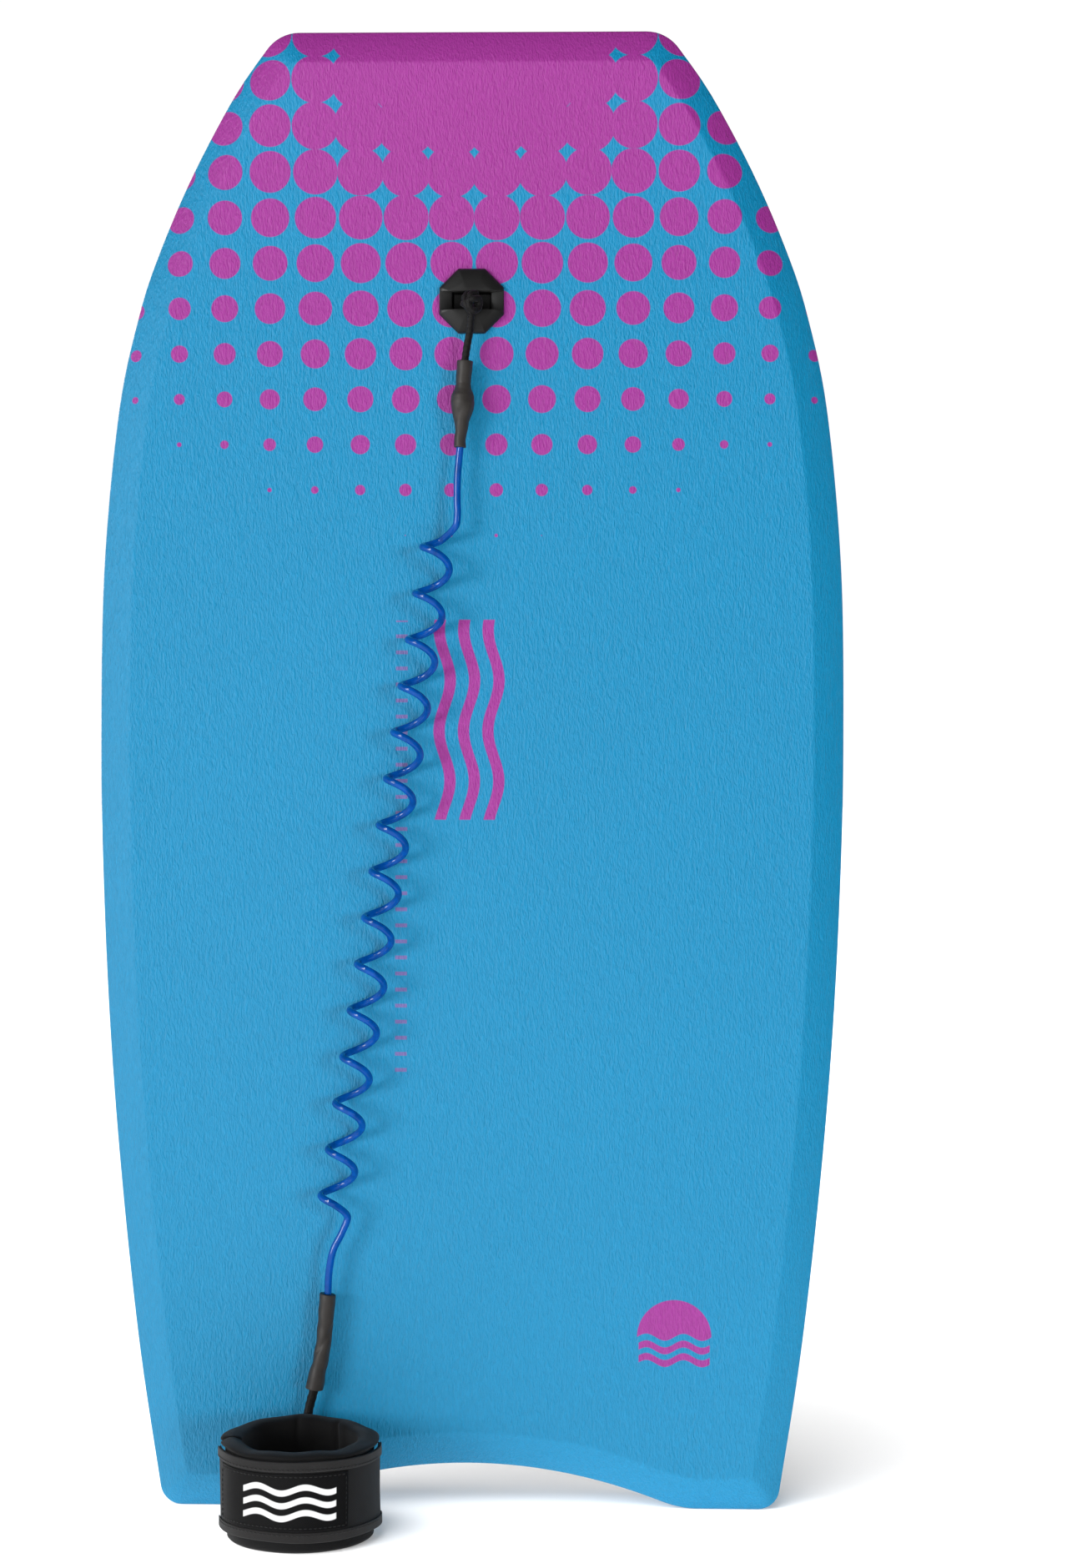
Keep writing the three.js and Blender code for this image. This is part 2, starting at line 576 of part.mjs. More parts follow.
function addLeash() {
  const knot = new THREE.SphereGeometry(1, 16, 10);
  knot.scale(...KNOT_SIZE);
  add('leash_knot', knot, MATERIAL.cord).position.set(0, KNOT_Y, PLUG_Z);

  // Upper sleeve, with the knot that joins the cord to the lead in its bulge.
  const upperTop = new THREE.Vector3(-3.9, -9.6, 729.4);
  const upperEnd = new THREE.Vector3(-6.9, -10.2, 674.6);
  const upperLength = upperTop.distanceTo(upperEnd);
  turned(
    'upper_sleeve',
    [
      [2.7, 0], [5.3, 0], [5.3, 14], [7.3, 22], [7.7, 27], [7.2, 32], [5.2, 39], [4.2, 47],
      [3.85, upperLength], [2.75, upperLength], [2.75, 37], [6, 32], [6, 22.5], [2.7, 18], [2.7, 0],
    ],
    upperTop, upperEnd, MATERIAL.sleeve,
  );
  turned(
    'joint_knot',
    [[0, 23], [3.4, 23], [5.4, 25], [5.4, 29.5], [3.4, 31.5], [0, 31.5]],
    upperTop, upperEnd, MATERIAL.cord,
  );
  tube(
    'upper_cord',
    [
      [-0.3, -9.5, 756.5], [-0.8, -9.5, 749], [-2.4, -9.5, 740],
      along(upperTop, upperEnd, 0), along(upperTop, upperEnd, 10), along(upperTop, upperEnd, 22.7),
    ],
    CORD_RADIUS, 10, 10, MATERIAL.cord,
  );

  // The lead leaves the sleeve, runs into the coil and out of it into the lower sleeve.
  const coilTop = new THREE.Vector3(-18.4, COIL_Y, 626.4);
  const coilEnd = new THREE.Vector3(-86, COIL_Y, 187.9);
  const coilLength = coilTop.distanceTo(coilEnd);
  const lowerTop = new THREE.Vector3(-89, -10.4, 139.8);
  const lowerEnd = new THREE.Vector3(-97.6, -9.4, 79.3);
  const lowerLength = lowerTop.distanceTo(lowerEnd);
  tube(
    'upper_lead',
    [
      along(upperTop, upperEnd, 31.8), along(upperTop, upperEnd, 44), along(upperTop, upperEnd, upperLength),
      [-8.4, -11, 656], [-8.6, -12, 640], [-10.2, -12.5, 630.2],
    ],
    LEAD_RADIUS, 10, 10, MATERIAL.lead,
  );
  turned(
    'leash_coil',
    [[0, 0], [COIL_RADIUS, 0], [COIL_RADIUS, coilLength], [0, coilLength]],
    coilTop, coilEnd, MATERIAL.lead,
  );
  tube(
    'lower_lead',
    [
      [-78.7, -12.5, 184.3], [-83.4, -12.2, 172], [-88.8, -11.2, 153],
      along(lowerTop, lowerEnd, 0), along(lowerTop, lowerEnd, 14), along(lowerTop, lowerEnd, 23.7),
    ],
    LEAD_RADIUS, 10, 10, MATERIAL.lead,
  );

  // Lower sleeve, over the ferrule that joins the lead to the cuff's cord.
  turned(
    'lower_sleeve',
    [
      [2.7, 0], [4.7, 0], [4.9, 20], [5.4, 38], [5.7, 54], [5.5, lowerLength],
      [3.2, lowerLength], [3.2, 42], [4.2, 39], [4.2, 24], [2.7, 21], [2.7, 0],
    ],
    lowerTop, lowerEnd, MATERIAL.sleeve,
  );
  turned(
    'lower_ferrule',
    [[0, 24], [3.9, 24], [3.9, 38.6], [0, 38.6]],
    lowerTop, lowerEnd, MATERIAL.steel,
  );
  const cordY = CUFF_Y + STRAP_RADII[1] + GAP + EYE_OFFSET;
  tube(
    'lower_cord',
    [
      along(lowerTop, lowerEnd, 38.9), along(lowerTop, lowerEnd, 50), along(lowerTop, lowerEnd, lowerLength),
      [-101, -8.8, 66], [CUFF_X, cordY, 56], [CUFF_X, cordY, 38],
    ],
    LOWER_CORD_RADIUS, 10, 10, MATERIAL.cord,
  );
}

// ---------------------------------------------------------------- cuff

const cuff = new THREE.Group();
cuff.position.set(CUFF_X, CUFF_Y, 0);
object.add(cuff);

// A band of the given radii, anticlockwise from one angle to another, in degrees.
function band(name, [inner, outer], from, to, [z0, z1], material) {
  const [a, b] = [THREE.MathUtils.degToRad(from), THREE.MathUtils.degToRad(to)];
  const shape = new THREE.Shape();
  shape.absarc(0, 0, outer, a, b, false);
  shape.absarc(0, 0, inner, b, a, true);
  const curveSegments = Math.max(6, Math.round((to - from) / 9));
  const geometry = new THREE.ExtrudeGeometry(shape, { depth: z1 - z0, bevelEnabled: false, curveSegments });
  add(name, geometry, material, cuff).position.z = z0;
}

function addCuff() {
  const front = FLAP_HINGE_ANGLE + 360;
  const [low, high] = STRAP_Z;
  band('cuff_pad', PAD_RADII, FLAP_END_ANGLE + 1, FLAP_END_ANGLE + 359, [0, PAD_HEIGHT], MATERIAL.neoprene);
  band('cuff_strap', STRAP_RADII, FLAP_HINGE_ANGLE, front - 2, STRAP_Z, MATERIAL.webbing);
  band('loop_panel', LOOP_RADII, FLAP_END_ANGLE, front - 14, [low + 3, high - 3], MATERIAL.hook);
  band('hook_panel', HOOK_RADII, FLAP_END_ANGLE + 2, 262, [low + 4, high - 4], MATERIAL.hook);
  band('strap_flap', FLAP_RADII, FLAP_END_ANGLE, front, STRAP_Z, MATERIAL.webbing);
  band('cuff_patch', TRIM_RADII, ...PATCH_ANGLES, PATCH_Z, MATERIAL.webbing);
  band('flap_binding_top', TRIM_RADII, FLAP_END_ANGLE, front, [high - BINDING_WIDTH, high], MATERIAL.binding);
  band('flap_binding_bottom', TRIM_RADII, FLAP_END_ANGLE, front, [low, low + BINDING_WIDTH], MATERIAL.binding);

  // A folded web tunnel sewn to the back of the strap, over the end of the cord.
  const tunnel = new THREE.Shape();
  tunnel.moveTo(-TUNNEL_HALF_WIDTH, 0);
  tunnel.lineTo(TUNNEL_HALF_WIDTH, 0);
  tunnel.lineTo(TUNNEL_HALF_WIDTH, TUNNEL_EDGE);
  tunnel.lineTo(TUNNEL_RIDGE_HALF_WIDTH, TUNNEL_RIDGE);
  tunnel.lineTo(-TUNNEL_RIDGE_HALF_WIDTH, TUNNEL_RIDGE);
  tunnel.lineTo(-TUNNEL_HALF_WIDTH, TUNNEL_EDGE);
  tunnel.closePath();
  const eye = new THREE.Path();
  eye.absarc(0, EYE_OFFSET, LOWER_CORD_RADIUS + GAP, 0, 2 * Math.PI, true);
  tunnel.holes.push(eye);
  const depth = TUNNEL_Z[1] - TUNNEL_Z[0];
  const geometry = new THREE.ExtrudeGeometry(tunnel, { depth, bevelEnabled: false, curveSegments: 10 });
  add('cord_tunnel', geometry, MATERIAL.webbing, cuff).position.set(0, STRAP_RADII[1] + GAP, TUNNEL_Z[0]);
}

addBoard();
addPlug();
addLeash();
addCuff();

export default object;
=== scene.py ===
"""Bodyboard with a coiled wrist leash: the looks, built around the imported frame."""

from math import acos, cos, degrees, exp, pi, radians, sin, sqrt, tan, tau

import bmesh
import bpy
import numpy as np
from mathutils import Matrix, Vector, noise

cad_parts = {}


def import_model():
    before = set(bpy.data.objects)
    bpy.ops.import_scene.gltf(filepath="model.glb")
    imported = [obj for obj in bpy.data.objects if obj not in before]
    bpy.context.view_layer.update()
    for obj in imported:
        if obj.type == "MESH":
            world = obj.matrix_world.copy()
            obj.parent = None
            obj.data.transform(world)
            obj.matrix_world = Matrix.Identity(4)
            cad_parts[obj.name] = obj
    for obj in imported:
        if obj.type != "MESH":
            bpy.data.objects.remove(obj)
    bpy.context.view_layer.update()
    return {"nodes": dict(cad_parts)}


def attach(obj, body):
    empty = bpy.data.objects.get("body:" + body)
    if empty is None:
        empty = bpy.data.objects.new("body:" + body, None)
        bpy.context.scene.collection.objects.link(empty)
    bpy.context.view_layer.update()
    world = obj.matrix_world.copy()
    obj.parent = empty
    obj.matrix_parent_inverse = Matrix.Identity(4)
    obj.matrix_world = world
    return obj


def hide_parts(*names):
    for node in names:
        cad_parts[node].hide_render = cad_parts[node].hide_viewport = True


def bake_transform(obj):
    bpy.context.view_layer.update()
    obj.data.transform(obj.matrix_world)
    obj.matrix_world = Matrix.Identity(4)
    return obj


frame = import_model()
SCENE = bpy.context.scene

# ---------------- measures
# Lengths are millimetres in the board's own frame, where y = 0 is the deck's flat
# face and y grows towards the slick. world() turns them into the row frame's metres.

MM = 0.001
DECK_Y = 26.7  # the deck's flat face in the row frame

BOARD_LENGTH = 940.0
THICKNESS = 52.0
TAIL_CHINE = 22.5
RAIL_CHINE = 20.0
NOSE_CHINE = 21.5
CHINE_DEPTH = 14.0
CHINE_CROWN = 0.7  # how far the bevel bulges between its edges
CHINE_CORNER = 12.6  # where the bevel's line meets the rail's, before rounding
RAIL_UNDERCUT = 14.0
NOSE_UNDERCUT = 6.0
TAIL_CHAMFER = 3.0
RAIL_CURVE = [
    (198.2, 14), (211.4, 100), (222.6, 200), (230.8, 300), (235.7, 400), (237.4, 490),
    (235.7, 600), (226.6, 700), (214.2, 760), (201.4, 800), (179.8, 850), (152.4, 900), (130.8, 930),
]
TAIL_CORNER_RADIUS = 14.0
NOSE_CORNER_RADIUS = 26.0
MIN_CORNER_RADIUS = 5.0
CRESCENT_DEPTH = 28.0
CRESCENT_RADIUS = 320.0
LOBE_EASE = 5.0
ROCKER_START = 790.0
ROCKER_LIFT = 12.0
CHANNEL_LENGTH = 256.0
CHANNEL_DEPTH = 6.0
CHANNEL_HALF_WIDTH = 29.0
CHANNEL_X_TAIL = 120.0
CHANNEL_X_APEX = 138.0

PLUG_Z = 768.5
CUFF_X = -102.3
CUFF_Y = -58.5


def world(points):
    """Board millimetres to row-frame metres."""
    return (np.asarray(points, float) + (0.0, DECK_Y, 0.0)) * MM


def srgb(red, green, blue):
    """A screen colour, 0 to 255, as the linear colour that shaders take."""
    def linear(value):
        share = value / 255
        return share / 12.92 if share <= 0.04045 else ((share + 0.055) / 1.055) ** 2.4

    return (linear(red), linear(green), linear(blue), 1.0)


# ---------------- node helpers


class Num:
    """A number socket that takes Python's arithmetic, each step a Math node."""

    def __init__(self, graph, socket):
        self.graph = graph
        self.socket = socket

    def __rsub__(self, other):
        return self.graph.math("SUBTRACT", other, self)

    def step(self, low, high):
        """0 below low, 1 above high, smooth between."""
        return self.graph.map_range(self, low, high)


def math_step(operation):
    """A method of Num that adds one Math node."""
    def method(self, *others):
        return self.graph.math(operation, self, *others)

    return method


for METHOD, OPERATION in {
    "__add__": "ADD", "__radd__": "ADD", "__sub__": "SUBTRACT", "__mul__": "MULTIPLY", "__rmul__": "MULTIPLY",
    "__truediv__": "DIVIDE", "__abs__": "ABSOLUTE", "floor": "FLOOR", "sine": "SINE", "root": "SQRT",
    "largest": "MAXIMUM",
}.items():
    setattr(Num, METHOD, math_step(OPERATION))


class Graph:
    """The node tree of a material, of a node group or of the world."""

    def __init__(self, tree):
        self.tree = tree

    def feed(self, socket, value):
        if isinstance(value, Num):
            value = value.socket
        if isinstance(value, bpy.types.NodeSocket):
            self.tree.links.new(value, socket)
        else:
            socket.default_value = value

    def node(self, kind, inputs=(), **settings):
        """A new node. inputs is a list, or a dict by place or label."""
        made = self.tree.nodes.new(kind)
        for key, value in settings.items():
            setattr(made, key, value)
        pairs = inputs.items() if isinstance(inputs, dict) else enumerate(inputs)
        for key, value in pairs:
            self.feed(made.inputs[key], value)
        return made

    def math(self, operation, *values):
        return Num(self, self.node("ShaderNodeMath", values, operation=operation).outputs[0])

    def map_range(self, *values):
        """Value, low and high, then what they turn into, 0 and 1 when not given."""
        made = self.node("ShaderNodeMapRange", values, interpolation_type="SMOOTHSTEP")
        return Num(self, made.outputs[0])

    def place(self, upright=1.0):
        """The piece's points at rest, in metres. A small upright makes patterns long up the board."""
        place = self.node("ShaderNodeTexCoord").outputs["Object"]
        if upright == 1.0:
            return place
        return self.node("ShaderNodeMapping", {"Vector": place, "Scale": (1.0, 1.0, upright)}).outputs[0]

    def axes(self, vector):
        return [Num(self, socket) for socket in self.node("ShaderNodeSeparateXYZ", [vector]).outputs]

    def noise(self, scale, detail=2.0, roughness=0.5, distortion=0.0, upright=1.0):
        inputs = {"Vector": self.place(upright), "Scale": scale, "Detail": detail, "Roughness": roughness}
        made = self.node("ShaderNodeTexNoise", {**inputs, "Distortion": distortion})
        return Num(self, made.outputs["Fac"])

    def cells(self, scale, upright=1.0):
        made = self.node("ShaderNodeTexVoronoi", {"Vector": self.place(upright), "Scale": scale})
        return Num(self, made.outputs["Distance"])

    def blend(self, share, first, second):
        return self.node("ShaderNodeMix", {0: share, 6: first, 7: second}, data_type="RGBA").outputs[2]

    def shade(self, colour, tone):
        """A colour made lighter or darker by a tone around zero."""
        return self.node("ShaderNodeHueSaturation", {"Value": tone + 1.0, "Color": colour}).outputs[0]

    def bump(self, height, distance, strength):
        inputs = {"Height": height, "Distance": distance, "Strength": strength}
        return self.node("ShaderNodeBump", inputs).outputs[0]


class Surface(Graph):
    """A Principled material. Its sockets are set by label, with underscores for spaces."""

    def __init__(self, name, **sockets):
        self.material = bpy.data.materials.new(name)
        self.material.use_nodes = True
        super().__init__(self.material.node_tree)
        self.set(**sockets)

    def set(self, **sockets):
        shader = self.tree.nodes["Principled BSDF"]
        for label, value in sockets.items():
            self.feed(shader.inputs[label.replace("_", " ")], value)
        return self.material

    def paint(self, colour, tone, **sockets):
        """Sets the base colour, made lighter or darker by a tone, and other sockets."""
        return self.set(Base_Color=self.shade(colour, tone), **sockets)


# ---------------- mesh helpers
# A shape is a pair of lists, verts in board millimetres and faces.

MERGE_DISTANCE = 2e-6  # metres
SHARP_ANGLE = radians(45)
BEVEL_ANGLE = radians(28)


def tube_faces(rows, count, joined=False, base=0):
    """Quads between closed rows of points. joined runs the last row on to the first."""
    faces = []
    for k in range(rows if joined else rows - 1):
        here, there = base + k * count, base + (k + 1) % rows * count
        for i in range(count):
            j = (i + 1) % count
            faces.append((here + i, here + j, there + j, there + i))
    return faces


def loft(sections, joined=False):
    """A closed shape over equal closed sections, joined to itself or with a face on each end."""
    rows, count = len(sections), len(sections[0])
    faces = tube_faces(rows, count, joined)
    if not joined:
        faces += [tuple(range(count))[::-1], tuple(range((rows - 1) * count, rows * count))]
    return [tuple(p) for section in sections for p in section], faces


def add_object(name, data):
    obj = bpy.data.objects.new(name, data)
    SCENE.collection.objects.link(obj)
    return obj


def closed_mesh(name, shape, merge=0.0):
    verts, faces = shape
    mesh = bpy.data.meshes.new(name)
    mesh.from_pydata([tuple(p) for p in world(verts)], [], faces)
    work = bmesh.new()
    work.from_mesh(mesh)
    if merge:
        bmesh.ops.remove_doubles(work, verts=work.verts, dist=merge)
    bmesh.ops.recalc_face_normals(work, faces=work.faces)
    work.to_mesh(mesh)
    work.free()
    return add_object(name, mesh)


def finish_piece(obj, material, body, slot, *replaces):
    """Gives a piece its look, hides the solids that it stands for and attaches it to the body that it rides
    on.
    """
    obj.data.materials.clear()
    obj.data.materials.append(material)
    if replaces:
        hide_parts(*replaces)
    if body:
        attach(obj, body)
    return obj


def make_piece(name, shape, material, body, slot, *replaces):
    obj = closed_mesh(name, shape, MERGE_DISTANCE)
    obj.data.shade_smooth()
    return finish_piece(obj, material, body, slot, *replaces)


def apply_modifiers(obj):
    """Leaves the evaluated mesh as the object's own."""
    bpy.context.view_layer.update()
    evaluated = obj.evaluated_get(bpy.context.evaluated_depsgraph_get())
    mesh = bpy.data.meshes.new_from_object(evaluated)
    obj.modifiers.clear()
    obj.data = mesh


def combine(obj, operation, shape):
    """Cuts a shape out of an object, or joins it on."""
    other = closed_mesh("other", shape)
    boolean = obj.modifiers.new("combine", "BOOLEAN")
    boolean.operation = operation
    boolean.solver = "EXACT"
    boolean.object = other
    apply_modifiers(obj)
    bpy.data.objects.remove(other, do_unlink=True)


def soften(obj, width):
    """Rounds the sharp edges and shades the rest smooth."""
    bevel = obj.modifiers.new("soften", "BEVEL")
    bevel.width = width
    bevel.segments = 2
    bevel.limit_method = "ANGLE"
    bevel.angle_limit = BEVEL_ANGLE
    bevel.use_clamp_overlap = True
    apply_modifiers(obj)
    obj.data.shade_smooth()
    obj.data.set_sharp_from_angle(angle=SHARP_ANGLE)


def fillet(corner, before, after, radius, steps):
    """Points that round a corner in the plane, from the line before it to the one after."""
    corner, before, after = (np.asarray(v, float) for v in (corner, before, after))
    before = before / np.linalg.norm(before)
    after = after / np.linalg.norm(after)
    turn = acos(np.clip(before @ after, -1, 1))
    reach = radius * tan(turn / 2)
    sign = 1.0 if before[0] * after[1] - before[1] * after[0] > 0 else -1.0
    start = corner - before * reach
    centre = start + sign * radius * np.array([-before[1], before[0]])
    points = []
    for i in range(steps + 1):
        angle = sign * turn * i / steps
        c, s = cos(angle), sin(angle)
        offset = start - centre
        points.append(centre + (offset[0] * c - offset[1] * s, offset[0] * s + offset[1] * c))
    return points


# ---------------- board outline

TAIL_REACH = 167.45
TAIL_COUNT = 44
CORNER_COUNT = 8
SIDE_COUNT = 96


def crescent(x):
    height = CRESCENT_DEPTH - x * x / (2 * CRESCENT_RADIUS)
    if height > LOBE_EASE:
        return height
    if height < -LOBE_EASE:
        return 0.0
    return (height + LOBE_EASE) ** 2 / (4 * LOBE_EASE)


def rocker(z):
    share = max(0.0, z - ROCKER_START) / (BOARD_LENGTH - ROCKER_START)
    return -ROCKER_LIFT * share * share


def channel(x, z):
    reach = 1 - z / CHANNEL_LENGTH
    if reach <= 0:
        return 0.0
    centre = CHANNEL_X_TAIL + (CHANNEL_X_APEX - CHANNEL_X_TAIL) * (1 - reach)
    across = (abs(x) - centre) / (CHANNEL_HALF_WIDTH * (0.35 + 0.65 * reach))
    if abs(across) >= 1:
        return 0.0
    return CHANNEL_DEPTH * sqrt(reach) * cos(pi / 2 * across) ** 2


def rail_point(share):
    """The rail's uniform Catmull-Rom curve, at a share of its way."""
    spans = len(RAIL_CURVE) - 1
    place = min(share * spans, spans - 1e-9)
    i = int(place)
    t = place - i
    p = [np.array(RAIL_CURVE[k], float) for k in (max(i - 1, 0), i, i + 1, min(i + 2, spans))]
    v0, v1 = (p[2] - p[0]) / 2, (p[3] - p[1]) / 2
    cubed, squared = 2 * p[1] - 2 * p[2] + v0 + v1, -3 * p[1] + 3 * p[2] - 2 * v0 - v1
    return cubed * t**3 + squared * t**2 + v0 * t + p[1]


def offset_rail(inset):
    """The rail moved inwards, run on in a straight line past both of its ends."""
    steps = 240
    reach = 60.0
    small = 1e-4
    points, tangents = [], []
    for i in range(steps + 1):
        share = i / steps
        tangent = rail_point(min(share + small, 1)) - rail_point(max(share - small, 0))
        tangent /= np.linalg.norm(tangent)
        tangents.append(tangent)
        points.append(rail_point(share) + inset * np.array([-tangent[1], tangent[0]]))
    points.insert(0, points[0] - reach * tangents[0])
    points.append(points[-1] + reach * tangents[-1])
    return np.array(points)


def half_outline(tail, rail, nose):
    """Half of the outline from the tail's centre to the nose's centre, as x, z."""
    edge = offset_rail(rail)

    def at(z):
        return float(np.interp(z, edge[:, 1], edge[:, 0]))

    def corner(tip, before, after, radius):
        return fillet(tip, before, after, max(MIN_CORNER_RADIUS, radius - rail), CORNER_COUNT)

    nose_z = BOARD_LENGTH - nose
    tail_corner = corner((at(tail), tail), (1, 0), edge[1] - edge[0], TAIL_CORNER_RADIUS)
    nose_corner = corner((at(nose_z), nose_z), edge[-1] - edge[-2], (-1, 0), NOSE_CORNER_RADIUS)
    shares = np.linspace(0, 1, TAIL_COUNT + 1)[:-1]
    bottom = [(x, crescent(x) + tail) for x in TAIL_REACH * shares]
    low, high = tail_corner[-1][1], nose_corner[0][1]
    side = [(at(z), z) for z in np.linspace(low, high, SIDE_COUNT + 2)[1:-1]]
    top = [(nose_corner[-1][0] * share, nose_z) for share in shares]
    return np.array([*bottom, *tail_corner, *side, *nose_corner, *top[::-1]])


HALF = len(half_outline(0, 0, 0))
LOOP = 2 * (HALF - 1)
TAIL_MIDDLE = TAIL_COUNT + CORNER_COUNT // 2
NOSE_MIDDLE = HALF - 1 - TAIL_MIDDLE


def board_point(x, y, z, channelled):
    sink = channel(x, z) if channelled else 0.0
    return (x, y + rocker(z) - sink, z)


def ring(insets, y, channelled=False):
    """The full outline at one depth. insets is one number, or (tail, rail, nose)."""
    tail, rail, nose = insets if isinstance(insets, tuple) else (insets,) * 3
    half = half_outline(tail, rail, nose)
    mirrored = [(-x, z) for x, z in half[1:-1][::-1]]
    return np.array([board_point(x, y, z, channelled) for x, z in [*half, *mirrored]])


def grid_inside(outline, y, channelled):
    """Rows of points that fill a ring, from the tail to the nose."""
    columns = 2 * TAIL_MIDDLE
    rows = NOSE_MIDDLE - TAIL_MIDDLE
    bottom = outline[(np.arange(columns + 1) - TAIL_MIDDLE) % LOOP]
    top = outline[(LOOP - NOSE_MIDDLE - np.arange(columns + 1)) % LOOP]
    right = outline[TAIL_MIDDLE + np.arange(rows + 1)]
    left = outline[LOOP - TAIL_MIDDLE - np.arange(rows + 1)]
    u = ((bottom[:, 0] - bottom[0, 0]) / (bottom[-1, 0] - bottom[0, 0]))[None, :, None]
    v = ((left[:, 2] - left[0, 2]) / (left[-1, 2] - left[0, 2]))[:, None, None]
    grid = (
        bottom[None] * (1 - v) + top[None] * v + left[:, None] * (1 - u) + right[:, None] * u
        - bottom[0] * (1 - u) * (1 - v) - bottom[-1] * u * (1 - v) - top[0] * (1 - u) * v - top[-1] * u * v
    )
    for row in grid[1:-1]:
        for point in row[1:-1]:
            point[:] = board_point(point[0], y, point[2], channelled)
    return grid


def layered(rings, start, end):
    """A shape whose surface runs over a list of rings, with a grid closing each end."""
    verts = [tuple(p) for outline in rings for p in outline]
    faces = tube_faces(len(rings), LOOP)
    for outline, (y, channelled), flip in ((rings[0], start, True), (rings[-1], end, False)):
        base = len(verts)
        grid = grid_inside(outline, y, channelled)
        rows, columns = grid.shape[:2]
        verts.extend(tuple(p) for row in grid for p in row)
        for j in range(rows - 1):
            for i in range(columns - 1):
                a = base + j * columns + i
                quad = (a, a + 1, a + 1 + columns, a + columns)
                faces.append(quad[::-1] if flip else quad)
    return verts, faces


# ---------------- printed foam

DOT_PITCH = 0.02884
DOT_FIRST_ROW = 0.64883
PRINT_SHIFT = 0.0015
PRINT_SOFTNESS = 0.00035
BLUE = srgb(10, 132, 178)
MAGENTA = srgb(153, 49, 142)


def dot_group():
    """Node group: how far a point is inside the printed dot of one lattice cell."""
    tree = bpy.data.node_groups.new("halftone_dot", "ShaderNodeTree")
    for name in ("u", "v", "column", "row"):
        tree.interface.new_socket(name, in_out="INPUT", socket_type="NodeSocketFloat")
    tree.interface.new_socket("inside", in_out="OUTPUT", socket_type="NodeSocketFloat")
    graph = Graph(tree)
    source = graph.node("NodeGroupInput")
    u, v, column, row = [Num(graph, source.outputs[i]) for i in range(4)]
    spread = column * column
    # The print's tone fades towards the tail, and faster towards the rails.
    tone = (0.1525 - spread * 0.0013) * (row + 0.5 - spread * 0.05)
    tone = graph.math("SMOOTH_MAX", tone, 0.0, 0.2)
    tone = graph.math("SMOOTH_MIN", tone, 1.83 - abs(column) * 0.226, 0.12)
    over = (tone - 1.0).largest(0.0)
    area = (tone - 0.004).largest(0.0) + over * over * 7.0
    du, dv = u - column, v - row
    inside = area.root() * 0.5 + area.step(0.0, 0.004) * 0.02 - 0.012 - (du * du + dv * dv).root()
    graph.node("NodeGroupOutput", [inside])
    return tree


def halftone(graph, x, z):
    """1 on the printed dots. The dots of the four nearest cells can overlap."""
    group = dot_group()
    u = (x - PRINT_SHIFT) / DOT_PITCH
    v = (z - DOT_FIRST_ROW) / DOT_PITCH
    column, row = (u - 0.5).floor() + 0.5, v.floor()
    best = None
    for right, up in ((0.0, 0.0), (0.0, 1.0), (1.0, 0.0), (1.0, 1.0)):
        cell = graph.node("ShaderNodeGroup", (u, v, column + right, row + up), node_tree=group)
        inside = Num(graph, cell.outputs[0])
        best = inside if best is None else best.largest(inside)
    return best.step(-PRINT_SOFTNESS / DOT_PITCH, PRINT_SOFTNESS / DOT_PITCH)


def soft_step(value, edge):
    """0 below an edge of the print and 1 above it."""
    return value.step(edge - PRINT_SOFTNESS, edge + PRINT_SOFTNESS)


def window(value, low, high):
    """1 between low and high, with the print's soft edge."""
    return soft_step(value, low) * (1.0 - soft_step(value, high))


def largest(values):
    result = values[0]
    for value in values[1:]:
        result = result.largest(value)
    return result


def wave_bars(along, across, centre, pitch, width, swing, period):
    """Three parallel wavy bars, a plain decoration with no lettering in it."""
    shifted = across - centre - (along * (tau / period)).sine() * swing
    return largest([window(shifted, k * pitch - width / 2, k * pitch + width / 2) for k in (-1, 0, 1)])


TICK_PITCH = 0.0102
SUN_X, SUN_Z, SUN_RADIUS = 0.130, 0.112, 0.0235


def deck_decoration(x, z):
    """Wave bars, a row of ticks and a small sun over waves, in place of lettering."""
    waves = wave_bars(z, x, -0.001, 0.0155, 0.0072, 0.0035, 0.064) * window(z, 0.4395, 0.5665)
    tick = abs((z / TICK_PITCH) - (z / TICK_PITCH).floor() - 0.5) * TICK_PITCH
    ticks = (1.0 - tick.step(0.0010, 0.0014)) * window(x, -0.0475, -0.0400) * window(z, 0.276, 0.566)
    dx, dz = x - SUN_X, z - SUN_Z
    disc = 1.0 - soft_step((dx * dx + dz * dz).root(), SUN_RADIUS)
    swell = (dx * (tau / SUN_RADIUS)).sine() * 0.0022
    sun = disc * soft_step(dz - swell, 0.0)
    sea = [
        window(dz - swell, level - 0.0022, level + 0.0022) * window(abs(dx), -1.0, 0.0225)
        for level in (-0.0065, -0.0145)
    ]
    return largest([waves, ticks * 0.5, sun, *sea])


def foam_material(name, shine, printed):
    """Closed-cell foam with a crinkled grain, long up the board."""
    surface = Surface(name, Roughness=0.5, Specular_IOR_Level=shine)
    grain = surface.noise(1150.0, 2.0, 0.6, upright=0.28)
    crinkle = surface.noise(680.0, 2.0, 0.6, 0.8, upright=0.26)
    cells = surface.cells(820.0, upright=0.35)
    patches = surface.noise(9.0)
    tone = (grain - 0.5) * 0.16 + (crinkle - 0.5) * 0.3 + (patches - 0.5) * 0.05
    colour = BLUE
    if printed:
        x, _, z = surface.axes(surface.place())
        colour = surface.blend(halftone(surface, x, z).largest(deck_decoration(x, z)), BLUE, MAGENTA)
    normal = surface.bump(grain * 0.4 + crinkle + cells * 0.3, 0.0009, 0.85)
    return surface.paint(colour, tone, Normal=normal)


